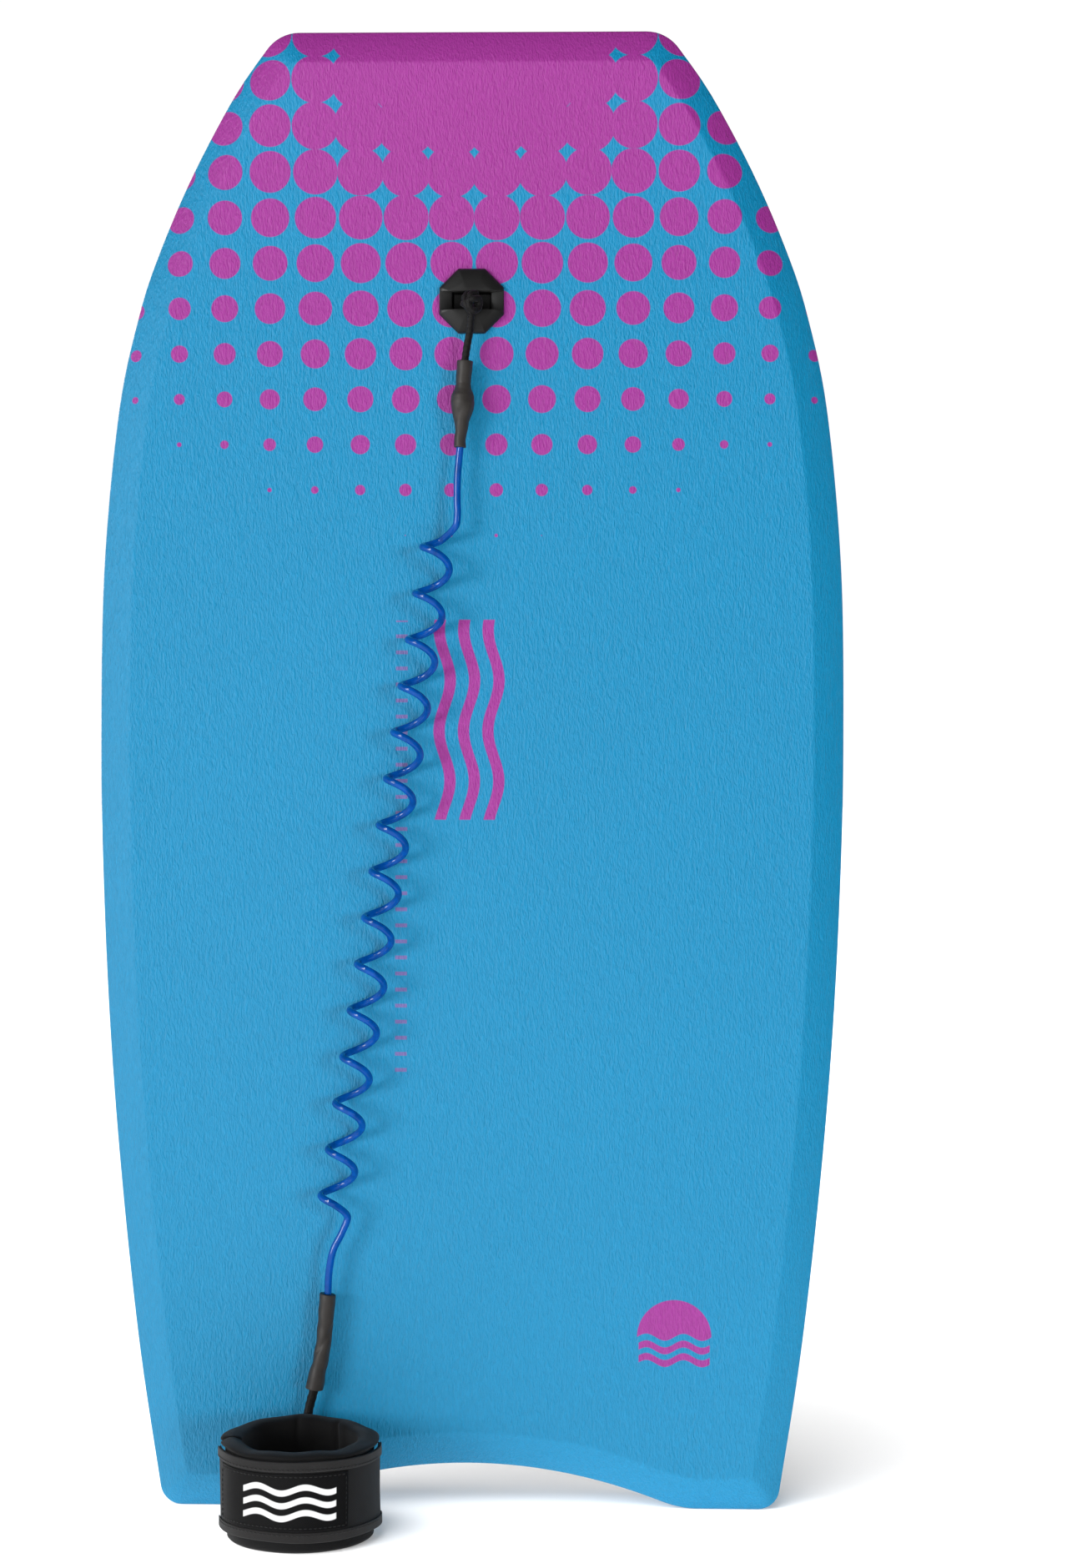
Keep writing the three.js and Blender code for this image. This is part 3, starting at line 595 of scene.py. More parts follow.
def weld_material():
    """The rough melted bead where the rail is heat-welded to the slick."""
    surface = Surface("weld_bead", Roughness=0.5)
    lumps = surface.noise(700.0, 3.0, 0.7, 0.8)
    return surface.paint(srgb(8, 122, 176), (lumps - 0.5) * 0.7, Normal=surface.bump(lumps, 0.0008, 0.9))


def slick_material():
    """Smooth extruded plastic sheet, with faint draw lines, scuffs and a soft wave."""
    surface = Surface("slick_plastic", Specular_IOR_Level=0.5, Coat_Weight=0.15, Coat_Roughness=0.22)
    lines = surface.noise(260.0, upright=0.02)
    soft = surface.noise(14.0)
    scuffs = surface.noise(90.0, 5.0, 0.75, upright=0.12)
    marks = scuffs.step(0.62, 0.8)
    tone = (lines - 0.5) * 0.025 + (soft - 0.5) * 0.03 - marks * 0.02
    normal = surface.bump(lines * 0.5 + soft * 2.0 + marks * 0.3, 0.0003, 0.35)
    roughness = 0.3 + soft * 0.08 + marks * 0.18
    return surface.paint(srgb(229, 229, 230), tone, Roughness=roughness, Normal=normal)


def core_material():
    """Expanded beads pressed together."""
    surface = Surface("core_foam", Roughness=0.7)
    beads = surface.cells(330.0)
    return surface.paint(srgb(240, 240, 236), (0.4 - beads) * 0.12, Normal=surface.bump(beads, 0.001, 0.5))


# ---------------- board

BARREL_RADIUS = 14.5
DECK_SKIN = 5.0
SLICK_THICKNESS = 1.8
GAP = 0.3


def chined(inset):
    """An inset across the rails' chine, widened in step at the tail and at the nose."""
    share = min(inset / RAIL_CHINE, 1.0)
    return (inset + (TAIL_CHINE - RAIL_CHINE) * share, inset, inset + (NOSE_CHINE - RAIL_CHINE) * share)


def undercut(share):
    """How far the edge has drawn in, at a share of its way from the chine to the slick."""
    return (TAIL_CHAMFER * share**6, RAIL_UNDERCUT * share**1.5, NOSE_UNDERCUT * share**1.5)


def build_deck():
    edge, flat = np.array([0.0, CHINE_CORNER]), np.array([RAIL_CHINE, 0.0])
    crown = np.array([-CHINE_CORNER, -RAIL_CHINE]) / np.hypot(CHINE_CORNER, RAIL_CHINE) * CHINE_CROWN
    slope = [edge + (flat - edge) * t + crown * 4 * t * (1 - t) for t in (0.28, 0.4, 0.52, 0.64, 0.76, 0.88)]
    outer = fillet(edge, (0, -1), slope[0] - edge, 3.0, 5)
    ridge = fillet(flat, flat - slope[-1], (1, 0), 4.5, 5)
    section = [(RAIL_CHINE + 1.7, DECK_SKIN), (6.0, CHINE_DEPTH), (0.5, CHINE_DEPTH + 0.2)]
    section += [(0.0, CHINE_DEPTH + 0.19), *outer, *slope[:-1], *ridge, (26.0, 0.0), (32.0, 0.0)]
    rings = [ring(chined(float(inset)), float(y)) for inset, y in section]
    shape = layered(rings, (DECK_SKIN, False), (0.0, False))
    printed = foam_material("printed_foam", 0.42, True)
    foam = make_piece("deck_foam", shape, printed, "board", "printed_foam", "deck_skin")
    combine(foam, "DIFFERENCE", disc_stack([(BARREL_RADIUS + GAP, -5.0), (BARREL_RADIUS + GAP, 12.0)]))


def build_rail():
    top, bottom = CHINE_DEPTH + GAP, THICKNESS - 2.6
    rings = [ring(5.2, top + 0.8), ring(0.8, top), ring(0.25, top + 0.05), ring(0.0, top + 0.4)]
    for share in (0.08, 0.2, 0.34, 0.48, 0.62, 0.75, 0.86, 0.94, 1.0):
        rings.append(ring(undercut(share), top + (bottom - top) * share, share > 0.8))
    rings.append(slick_ring(4.4, bottom))
    plain = foam_material("rail_foam", 0.5, False)
    names = ("tail_rail", "left_rail", "right_rail", "nose_rail")
    make_piece("rail_wrap", loft(rings, True), plain, "board", "rail_foam", *names)


def slick_ring(inset, y):
    """The slick's outline, drawn in from the undercut edge."""
    return ring(tuple(v + inset for v in undercut(1.0)), y, True)


def build_slick():
    low = THICKNESS - SLICK_THICKNESS
    section = [
        (24.0, low), (0.5, low), (0.5, THICKNESS - 0.7), (0.65, THICKNESS - 0.3), (1.0, THICKNESS - 0.06),
        (1.5, THICKNESS), (8.0, THICKNESS),
    ]
    shape = layered([slick_ring(*point) for point in section], (low, True), (THICKNESS, True))
    make_piece("slick", shape, slick_material(), "board", "slick_plastic", "slick_sheet")


WELD_SECTION = [
    (-0.9, -2.9), (-1.15, -2.2), (-0.6, -1.1), (0.2, -0.25), (1.0, 0.3), (1.9, 0.34), (2.5, -0.05),
    (2.2, -0.5), (1.0, -2.6),
]
WELD_OUTSIDE = range(1, 7)  # the points of the section that are in the open, and rough


def build_weld():
    rings = []
    for k, (inset, y) in enumerate(WELD_SECTION):
        outline = slick_ring(inset, THICKNESS + y)
        if k in WELD_OUTSIDE:
            for point in outline:
                rough = noise.noise(Vector(point) * 0.45 + Vector((k * 3.1, 0, 0)))
                fine = noise.noise(Vector(point) * 1.6 + Vector((0, k * 1.7, 0)))
                point[1] += 0.32 * rough + 0.16 * fine
                point[0] += 0.25 * rough * (1 if point[0] > 0 else -1)
        rings.append(outline)
    make_piece("weld_bead", loft(rings, True), weld_material(), "board", "rail_foam")


def build_board():
    build_deck()
    build_rail()
    build_slick()
    build_weld()
    materials = frame["nodes"]["foam_core"].data.materials
    materials.clear()
    materials.append(core_material())


# ---------------- leash plug

PLUG_LEVELS = [  # half the width across the flats, and y
    (20.5, 0.25), (20.5, -1.9), (20.2, -2.7), (19.6, -3.4), (18.6, -4.1), (15.0, -5.3), (12.0, -5.8),
    (8.5, -6.1), (3.0, -6.2),
]
PLUG_SLOT = [  # x and y of the slots and the sunk bridge between them
    (-30, -20), (30, -20), (30, -2.4), (20.5, -2.4), (12.5, -1.2), (11.5, 7.4), (-11.5, 7.4),
    (-12.5, -1.2), (-20.5, -2.4), (-30, -2.4),
]
SLOT_HALF_HEIGHT = 5.75
THREAD_RADIUS = 10.2
CROSSBAR_Y = -3.2
CROSSBAR_LEVELS = [(1.2, -8.7), (1.65, -8.5), (1.8, -8.1), (1.8, 8.1), (1.65, 8.5), (1.2, 8.7)]
BASE_Y = THICKNESS + GAP
BASE_LEVELS = [  # radius, and y past the slick
    (17.9, 0.0), (18.7, 0.25), (19.0, 0.9), (18.8, 1.7), (18.0, 2.35), (16.6, 2.6), (14.6, 2.6),
    (14.2, 2.25), (13.4, 2.25), (13.0, 2.6), (2.0, 2.6),
]
COIN_SLOT = [(-7.2, -1.1), (7.2, -1.1), (7.2, 1.1), (-7.2, 1.1)]


def plug_material():
    """Injection-moulded plastic with a fine spark texture, mixed paler on its sharp outer edges."""
    surface = Surface("plug_plastic", Specular_IOR_Level=0.45)
    spark = surface.noise(2600.0, 2.0, 0.6)
    soft = surface.noise(120.0, 3.0, 0.6) - 0.5
    # Sharp convex edges, found by pointiness, are mixed half-way to a paler grey.
    point = surface.node("ShaderNodeNewGeometry").outputs["Pointiness"]
    pale_edges = Num(surface, point).step(0.5, 0.62) * 0.5
    base = surface.shade(srgb(22, 22, 22), soft * 0.35)
    return surface.set(
        Base_Color=surface.blend(pale_edges, base, srgb(60, 60, 58)), Roughness=0.4 + soft * 0.14,
        Normal=surface.bump(spark, 0.0001, 0.5),
    )


def steel_material():
    surface = Surface("plug_steel", Metallic=1.0)
    drawn = surface.noise(3000.0, 2.0, 0.6, upright=0.04)
    return surface.paint(srgb(168, 170, 174), (drawn - 0.5) * 0.25, Roughness=0.28 + drawn * 0.15)


def octagon(apothem):
    """An octagon with two level flats and rounded corners, as x, z."""
    radius = apothem / cos(pi / 8)
    angles = pi / 8 + np.arange(8) * pi / 4
    corners = radius * np.column_stack([np.cos(angles), np.sin(angles)])
    points = []
    for k in range(8):
        before, after = corners[k] - corners[k - 1], corners[(k + 1) % 8] - corners[k]
        points += fillet(corners[k], before, after, min(1.3, apothem * 0.2), 3)
    return points


def disc_stack(levels, segments=48):
    """A shape turned about the plug's axis, from (radius, y) levels."""
    angles = np.arange(segments) * tau / segments
    return loft([
        [(radius * cos(a), y, PLUG_Z + radius * sin(a)) for a in angles] for radius, y in levels
    ])


def build_plug():
    plastic = plug_material()
    sections = [[(x, y, PLUG_Z + z) for x, z in octagon(apothem)] for apothem, y in PLUG_LEVELS]
    plug = closed_mesh("leash_plug", loft(sections))
    combine(plug, "UNION", disc_stack([(BARREL_RADIUS, -1.0), (BARREL_RADIUS, 35.0), (13.9, 36.0)]))
    combine(plug, "DIFFERENCE", disc_stack([(THREAD_RADIUS, 14.0), (THREAD_RADIUS, 40.0)]))
    heights = (PLUG_Z - SLOT_HALF_HEIGHT, PLUG_Z + SLOT_HALF_HEIGHT)
    combine(plug, "DIFFERENCE", loft([[(x, y, z) for x, y in PLUG_SLOT] for z in heights]))
    soften(plug, 0.00035)
    finish_piece(plug, plastic, "board", "plug_plastic", "plug_top")

    angles = np.arange(24) * tau / 24
    bar = loft([
        [(radius * cos(a), CROSSBAR_Y + radius * sin(a), PLUG_Z + z) for a in angles]
        for radius, z in CROSSBAR_LEVELS
    ])
    make_piece("crossbar", bar, steel_material(), "board", "plug_steel", "plug_crossbar")

    levels = [(9.9, 15.6), (9.9, BASE_Y + 0.2), *[(radius, BASE_Y + y) for radius, y in BASE_LEVELS]]
    base = closed_mesh("screw_base", disc_stack(levels, 64))
    slot = loft([[(x, BASE_Y + y, PLUG_Z + z) for x, z in COIN_SLOT] for y in (1.4, 4.0)])
    combine(base, "DIFFERENCE", slot)
    soften(base, 0.00022)
    finish_piece(base, plastic, "board", "plug_plastic", "plug_base")


# ---------------- leash

CORD_RADIUS = 2.25
LOWER_CORD_RADIUS = 2.75
LEAD_RADIUS = 2.3
CORD_END_Y = -8.6  # where the cord enters the tunnel on the strap
COIL_TOP = np.array([-18.4, -12.5, 626.4])
COIL_END = np.array([-86.0, -12.5, 187.9])
COIL_TURNS = 15
COIL_SWING = 9.55  # from the coil's middle line to the lead's own
COIL_LEAN = 3.0  # how much lower the back of each turn hangs than its front
SLEEVE_TOP = np.array([-3.9, -9.6, 729.4])
SLEEVE_END = np.array([-6.9, -10.2, 674.6])
LOWER_TOP = np.array([-89.0, -10.4, 139.8])
LOWER_END = np.array([-97.6, -9.4, 79.3])
LOWER_BEND = 1.6  # how far the lower sleeve bows to the right
SLEEVE_SEGMENTS = 40
BRAID_STRANDS = 5
BRAID_LAY = 3.4  # one strand's turn, in radii of the cord


def along(start, end, distance):
    return start + (end - start) / np.linalg.norm(end - start) * distance


def in_upper_sleeve(distance):
    return along(SLEEVE_TOP, SLEEVE_END, distance)


def in_lower_sleeve(distance):
    """A point on the lower sleeve's bowed middle line."""
    total = np.linalg.norm(LOWER_END - LOWER_TOP)
    side = np.cross(LOWER_END - LOWER_TOP, (0.0, 1.0, 0.0))
    bow = LOWER_BEND * sin(pi * distance / total)
    return along(LOWER_TOP, LOWER_END, distance) + side / np.linalg.norm(side) * bow


def between(start, end, place, first, second):
    """The point at a place on the line through first, at start, and second, at end."""
    return ((end - place) * first + (place - start) * second) / (end - start)


def smooth_path(points, step):
    """A centripetal Catmull-Rom curve through the points, walked at an even step."""
    p = [np.asarray(q, float) for q in points]
    p = [2 * p[0] - p[1], *p, 2 * p[-1] - p[-2]]
    dense = []
    for i in range(1, len(p) - 2):
        q = p[i - 1:i + 3]
        t = [0.0]
        for k in range(3):
            t.append(t[-1] + max(np.linalg.norm(q[k + 1] - q[k]), 1e-9) ** 0.5)
        for s in np.linspace(t[1], t[2], 24, endpoint=False):
            a = [between(t[k], t[k + 1], s, q[k], q[k + 1]) for k in range(3)]
            b = [between(t[k], t[k + 2], s, a[k], a[k + 1]) for k in range(2)]
            dense.append(between(t[1], t[2], s, b[0], b[1]))
    dense.append(p[-2])
    return even_path(np.array(dense), step)


def run_lengths(points):
    """The distance along a path to each of its points."""
    return np.concatenate([[0], np.cumsum(np.linalg.norm(np.diff(points, axis=0), axis=1))])


def path_length(points):
    return float(run_lengths(points)[-1])


def even_path(points, step):
    lengths = run_lengths(points)
    count = max(2, int(round(lengths[-1] / step)))
    places = np.linspace(0, lengths[-1], count + 1)
    return np.column_stack([np.interp(places, lengths, points[:, k]) for k in range(3)])


def frames(points):
    """Tangent, and two crosswise directions that turn as little as possible."""
    tangents = np.gradient(points, axis=0)
    tangents /= np.linalg.norm(tangents, axis=1)[:, None]
    side = np.cross(tangents[0], (0.0, 1.0, 0.0))
    sides, ups = [], []
    for tangent in tangents:
        side = side - tangent * (side @ tangent)
        side = side / np.linalg.norm(side)
        sides.append(side)
        ups.append(np.cross(tangent, side))
    return tangents, sides, ups


def sweep(points, radius, segments):
    """A tube along a path, with rounded ends. radius(distance, angle) gives its surface."""
    tangents, sides, ups = frames(points)
    distances = run_lengths(points)
    size = radius(0.0, 0.0)
    stations = [(0, 0.35, -0.4), (0, 0.75, -0.28), *[(i, 1.0, 0.0) for i in range(len(points))]]
    stations += [(-1, 0.75, 0.28), (-1, 0.35, 0.4)]
    sections = []
    for i, shrink, push in stations:
        section = []
        for j in range(segments):
            angle = tau * j / segments
            across = sides[i] * cos(angle) + ups[i] * sin(angle)
            across *= radius(distances[i], angle) * shrink
            section.append(points[i] + across + tangents[i] * size * push)
        sections.append(section)
    return loft(sections)


def braided(radius, depth=0.17):
    """A round braid's surface: crossing helical strands."""
    def surface(distance, angle):
        turn = tau * distance / (BRAID_LAY * radius)
        lattice = cos(BRAID_STRANDS * angle + turn) * cos(BRAID_STRANDS * angle - turn)
        return radius + depth * lattice

    return surface


def cord_material():
    """Black braided nylon, each strand with its own sheen."""
    surface = Surface(
        "black_cord", Roughness=0.55, Sheen_Weight=0.08, Sheen_Roughness=0.4, Specular_IOR_Level=0.25
    )
    fibres = surface.noise(4200.0, 2.0, 0.6, upright=0.35)
    clumps = surface.cells(820.0)
    tone = (fibres - 0.5) * 0.9 + (clumps - 0.4) * 0.5
    return surface.paint(srgb(19, 18, 18), tone, Normal=surface.bump(fibres + clumps, 0.0002, 0.7))


def sleeve_material():
    """Matt heat-shrink tube."""
    surface = Surface("shrink_sleeve", Specular_IOR_Level=0.4)
    soft = surface.noise(190.0, 3.0, 0.6)
    fine = surface.noise(1900.0)
    normal = surface.bump(soft * 1.5 + fine * 0.3, 0.0003, 0.5)
    roughness = 0.5 + (soft - 0.5) * 0.2
    return surface.paint(srgb(50, 47, 45), (soft - 0.5) * 0.5, Roughness=roughness, Normal=normal)


def lead_material():
    """Tinted urethane that light gets a little way into, with a wet-looking surface."""
    surface = Surface("blue_lead", IOR=1.5, Transmission_Weight=0.12, Specular_IOR_Level=0.45)
    streak = surface.noise(160.0, 3.0, 0.6, upright=0.6)
    return surface.paint(srgb(0, 70, 150), (streak - 0.5) * 1.3, Roughness=0.06 + streak * 0.08)


def lead_route():
    """The lead's middle line: out of the upper sleeve, round the coil, into the lower one."""
    start = [in_upper_sleeve(31.8), in_upper_sleeve(44), SLEEVE_END]
    start += [(-8.4, -11, 656), (-8.5, -12, 640), (-8.2, -12.4, 633.5)]
    coil = []
    per_turn = 24
    count = COIL_TURNS * per_turn
    for i in range(count + 1):
        turn = tau * i / per_turn
        middle = COIL_TOP + (COIL_END - COIL_TOP) * (i / count)
        ease = min(1.0, i / (per_turn / 4), (count - i) / (per_turn / 4))
        back = sin(turn) * ease
        coil.append(middle + (COIL_SWING * cos(turn), COIL_SWING * back, -COIL_LEAN * back))
    end = [(-80.4, -12.5, 178), (-85.6, -12.2, 167.5), (-88.3, -11.4, 153)]
    end += [in_lower_sleeve(0), in_lower_sleeve(14), in_lower_sleeve(23.7)]
    return smooth_path([*start, *coil, *end], 1.3)


def round_noise(angle, height, fineness, upward):
    """Smooth noise round a tube, which meets itself after a full turn."""
    return noise.noise(Vector((cos(angle) * fineness, sin(angle) * fineness, height * upward)))


def sleeve_piece(name, start, end, profile, bore, material, body, node, bend=0.0, fold=0.0):
    """A shrunk tube: an outer profile of (radius, distance) with dents, over a bore."""
    total = float(np.linalg.norm(end - start))
    axis = (end - start) / total
    side = np.cross(axis, (0.0, 1.0, 0.0))
    side /= np.linalg.norm(side)
    up = np.cross(axis, side)
    radii, places = zip(*profile)

    def outer(s, angle):
        hold = min(1.0, s / 5.0, (total - s) / 5.0)
        swirl = sin(angle + s * 0.16) * sin(s * 0.33 + 0.7)
        crease = exp(-((sin(angle / 2 - s * 0.055 + 0.9)) / 0.16) ** 2)
        dent = fold * (0.35 * swirl - 0.5 * crease) + 0.22 * round_noise(angle, s, 1.3, 0.11)
        return float(np.interp(s, places, radii)) + hold * dent

    def section(s, size, inside):
        """One row of points. size is the bore's radius inside, and a share of outer's outside."""
        middle = start + axis * s + side * bend * sin(pi * s / total)
        row = []
        for j in range(SLEEVE_SEGMENTS):
            angle = tau * j / SLEEVE_SEGMENTS
            r = size if inside else outer(s, angle) * size
            row.append(middle + side * r * cos(angle) + up * r * sin(angle))
        return row

    outside = [(0.0, 0.86), (0.15, 0.97), *[(s, 1.0) for s in np.linspace(0.4, total - 0.4, 90)]]
    outside += [(total - 0.15, 0.97), (total, 0.86)]
    hollow = [(total, bore[1]), (total - 6, bore[1]), (total - 6.2, 0.4)]
    hollow += [(6.2, 0.4), (6, bore[0]), (0.0, bore[0])]
    sections = [section(s, share, False) for s, share in outside]
    sections += [section(s, radius, True) for s, radius in hollow]
    return make_piece(name, loft(sections, True), material, body, "shrink_sleeve", node)


KNOT_ROUTE = [  # from the plug's middle
    (-0.3, -9.5, -12.0), (0.2, -10.2, -10.5), (-1.0, -11.2, -7.8), (-3.4, -11.8, -3.6), (-3.9, -10.4, 1.0),
    (-1.8, -9.0, 3.6), (1.4, -7.4, 3.6), (2.6, -3.6, 2.6), (1.4, 1.0, 0.6), (-1.8, 1.0, -0.6),
    (-4.4, -2.0, -1.6), (-4.9, -6.4, -2.4), (-4.4, -9.8, -3.2), (-1.6, -12.4, -1.8), (1.6, -12.8, -0.4),
    (4.5, -10.6, -0.2), (5.1, -9.0, -3.0), (4.0, -10.2, -6.6), (1.4, -12.0, -7.6), (-1.2, -12.8, -4.8),
    (-1.2, -12.4, -0.8), (0.6, -11.2, 3.2), (2.8, -9.6, 3.2), (1.6, -8.4, 0.4),
]
UPPER_PROFILE = [  # radius, and distance from the sleeve's top
    (5.1, 0), (4.9, 9), (4.75, 14.5), (5.5, 18), (7.1, 22), (7.5, 26.4), (7.1, 30.5), (5.9, 34.5),
    (4.7, 38.5), (3.95, 45), (3.65, 51), (3.9, 54.9),
]
LOWER_PROFILE = [
    (5.2, 0), (5.1, 12), (4.9, 20), (4.8, 32), (5.0, 42), (5.2, 50), (5.7, 57), (5.7, 61.1),
]


def bulging(distance, angle):
    """The hidden knot's surface."""
    return 2.6 + 2.4 * sin(pi * min(1, distance / 7.7)) + 0.25 * cos(5 * angle)


def waisted(distance, angle):
    """The ferrule's surface, crimped at its middle."""
    return 3.5 - 0.5 * exp(-((distance - 7) / 1.2) ** 2)


def build_leash():
    nylon = cord_material()
    rubber = sleeve_material()
    path = smooth_path([np.array([0.0, 0.0, PLUG_Z]) + p for p in KNOT_ROUTE], 0.5)
    knot = make_piece("plug_knot", sweep(path, braided(2.15), 30), nylon, "board", "black_cord", "leash_knot")

    route = [(-0.3, -9.5, 756.5), (-0.8, -9.5, 749), (-2.4, -9.5, 740)]
    route += [in_upper_sleeve(0), in_upper_sleeve(10), in_upper_sleeve(22.7)]
    path = smooth_path(route, 0.5)
    shape = sweep(path, braided(CORD_RADIUS), 32)
    upper = make_piece("top_cord", shape, nylon, "leash", "black_cord", "upper_cord")
    sleeve = sleeve_piece(
        "top_sleeve", SLEEVE_TOP, SLEEVE_END, UPPER_PROFILE, (2.6, 2.6), rubber, "leash", "upper_sleeve",
        fold=0.7,
    )
    inner = np.array([in_upper_sleeve(d) for d in np.linspace(23.4, 31.1, 12)])
    shape = sweep(inner, bulging, 30)
    hidden = make_piece("hidden_knot", shape, nylon, "leash", "black_cord", "joint_knot")

    route = lead_route()
    shape = sweep(route, lambda d, a: LEAD_RADIUS, 16)
    nodes = ("upper_lead", "leash_coil", "lower_lead")
    lead = make_piece("coiled_lead", shape, lead_material(), None, "blue_lead", *nodes)
    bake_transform(lead)
    lower_sleeve = sleeve_piece(
        "bottom_sleeve", LOWER_TOP, LOWER_END, LOWER_PROFILE, (2.6, 3.1), rubber, "cuff", "lower_sleeve",
        bend=LOWER_BEND, fold=0.85,
    )
    inner = np.array([in_lower_sleeve(d) for d in np.linspace(24.3, 38.3, 22)])
    shape = sweep(inner, waisted, 28)
    ferrule = make_piece("ferrule", shape, steel_material(), "cuff", "plug_steel", "lower_ferrule")

    route = [in_lower_sleeve(38.9), in_lower_sleeve(50), LOWER_END]
    route += [(-101.0, -8.8, 66), (CUFF_X, CORD_END_Y, 56), (CUFF_X, CORD_END_Y, 38)]
    path = smooth_path(route, 0.5)
    shape = sweep(path, braided(LOWER_CORD_RADIUS, 0.22), 34)
    lower = make_piece("bottom_cord", shape, nylon, "cuff", "black_cord", "lower_cord")


# ---------------- cuff

PAD_RADII = (38.5, 44.1)
PAD_HEIGHT = 60.0
STRAP_RADII = (44.4, 45.6)
LOOP_RADII = (45.9, 46.5)
HOOK_RADII = (46.8, 47.4)
FLAP_RADII = (47.7, 48.9)
TRIM_RADII = (49.2, 49.8)
STRAP_Z = (8.0, 56.0)
BINDING_WIDTH = 6.0
HINGE_ANGLE = 8.0  # degrees from +X; the flap is sewn down here
FREE_ANGLE = 188.0  # and its free end lies here, half a turn away through the front
PATCH_ANGLES = (203.0, 311.0)
PATCH_Z = (15.0, 49.0)
CREASES = (58.0, 99.0)  # the folds in the back of the pad
BAND_STEP = 1.5  # degrees


def out_of_round(angle, z):
    """How far the whole cuff stands out from a true circle, at an angle in radians."""
    back = 0.5 + 0.5 * sin(angle)
    facets = 0.55 * cos(5 * angle + 0.5) + 0.3 * cos(8 * angle - 0.6)
    return facets * (0.25 + 0.75 * back) + 0.22 * sin(3 * angle + z * 0.06 + 1.0)


def cuff_point(radius, angle, z):
    r = radius + out_of_round(angle, z)
    return (CUFF_X + r * cos(angle), CUFF_Y + r * sin(angle), z)


def band_section(radii, heights, edge, rows):
    """The outline of a band's thickness, as (radius, z, side), side 1 outside and -1 inside."""
    inner, outer = radii
    edge = min(edge, (outer - inner) / 2 - 0.01)
    low, high = heights[0] + edge, heights[1] - edge
    near, far = inner + edge, outer - edge
    turn = [(cos(pi / 8 * k), sin(pi / 8 * k)) for k in range(5)]
    points = [(outer, z, 1.0) for z in np.linspace(low, high, rows)]
    points += [(far + edge * c, high + edge * s, c) for c, s in turn[1:]]
    points += [(near - edge * s, high + edge * c, -s) for c, s in turn[:4]]
    points += [(inner, z, -1.0) for z in np.linspace(high, low, rows)]
    points += [(near - edge * c, low - edge * s, -c) for c, s in turn[1:]]
    points += [(far + edge * s, low - edge * c, s) for c, s in turn[:4]]
    return points


def cuff_band(radii, arc, heights, edge, rows, detail):
    """A band round the cuff, with rounded edges and ends."""
    section = band_section(radii, heights, edge, rows)
    middle = sum(radii) / 2
    start, end = arc
    count = max(4, int(round((end - start) / BAND_STEP)))
    tip = degrees((radii[1] - radii[0]) / 2 / middle)
    stations = [(start, 0.3), (start + tip * 0.3, 0.75)]
    stations += [(a, 1.0) for a in np.linspace(start + tip, end - tip, count + 1)]
    stations += [(end - tip * 0.3, 0.75), (end, 0.3)]
    sections = []
    for degree, share in stations:
        angle = radians(degree)
        row = []
        for radius, z, side in section:
            bulge, lift = detail(angle, z, side)
            row.append(cuff_point(middle + (radius - middle + bulge) * share, angle, z + lift))
        sections.append(row)
    return loft(sections)


def pad_detail(angle, z, side):
    """Folds at the back, and a rim that swells over the strap and stands higher at the back."""
    middle = PAD_HEIGHT / 2
    high = max(0.0, (z - middle) / middle) ** 2
    back = 0.5 + 0.5 * sin(angle)
    lift = high * (4.6 * back**1.5 + 0.5 * sin(4 * angle + 1.0) + 0.35 * sin(9 * angle))
    over_strap = 1.0 / (1.0 + exp(-(z - STRAP_Z[1] - 0.4) * 1.7))
    under_strap = 1.0 / (1.0 + exp(-(STRAP_Z[0] - 2.2 - z) * 1.4))
    soft = round_noise(angle, z, 2.5, 0.05)
    if side > 0:
        room = 3.6 + 1.6 * cos(angle) ** 2 - 3.2 * max(0.0, sin(angle)) ** 1.5
        return side * (room * over_strap + 0.9 * under_strap) + 0.25 * soft * over_strap, lift
    bulge = -side * 0.3 * soft
    for crease in CREASES:
        apart = (degrees(angle) % 360 - crease + 180 + 0.06 * (z - middle)) % 360 - 180
        bulge += -side * 1.9 * exp(-(apart / 3.0) ** 2) * (0.4 + 0.6 * high)
        bulge += side * 0.8 * exp(-((apart + 9) / 6.0) ** 2)
    return bulge + side * (0.7 * (1 - high) + 3.6 * high), lift


def strap_detail(angle, z, side):
    return 0.12 * sin(7 * angle + z * 0.1), 0.25 * sin(4 * angle + 0.4)


def flap_detail(angle, z, side):
    lift = 0.3 * sin(4 * angle + 0.4) * (z - 32) / 24
    return 0.3 * round_noise(angle, z, 2.2, 0.05), lift


def trim_detail(angle, z, side):
    bulge, lift = flap_detail(angle, z, side)
    return bulge + 0.08 * round_noise(angle, z, 9, 0.3) + 0.12, lift


def arc_and_height(surface, radius):
    """How far a point is round the cuff from its front, and its height, in metres."""
    x, y, z = surface.axes(surface.place())
    dx, dy = x - CUFF_X * MM, y - (CUFF_Y + DECK_Y) * MM
    return surface.math("ARCTAN2", dx, dy * -1.0) * radius, z
def knitted(name, colour, roughness, fuzz, rib, depth, tint):
    """Laminated jersey or loop fabric: fine ribs along the strap, fuzz, and soft lint."""
    surface = Surface(
        name, Roughness=roughness, Sheen_Weight=fuzz, Sheen_Roughness=0.5, Specular_IOR_Level=0.25
    )
    arc, z = arc_and_height(surface, 0.0490)
    knit = (arc * (tau / rib)).sine() * (z * (tau / rib)).sine()
    lint = surface.noise(1500.0, 3.0, 0.7)
    soft = surface.noise(70.0, 3.0, 0.55)
    tone = knit * 0.12 + (lint - 0.5) * tint + (soft - 0.5) * 0.35
    normal = surface.bump(knit * 0.5 + lint * 1.2, depth, 0.7)
    return surface.paint(colour, tone, Normal=normal)


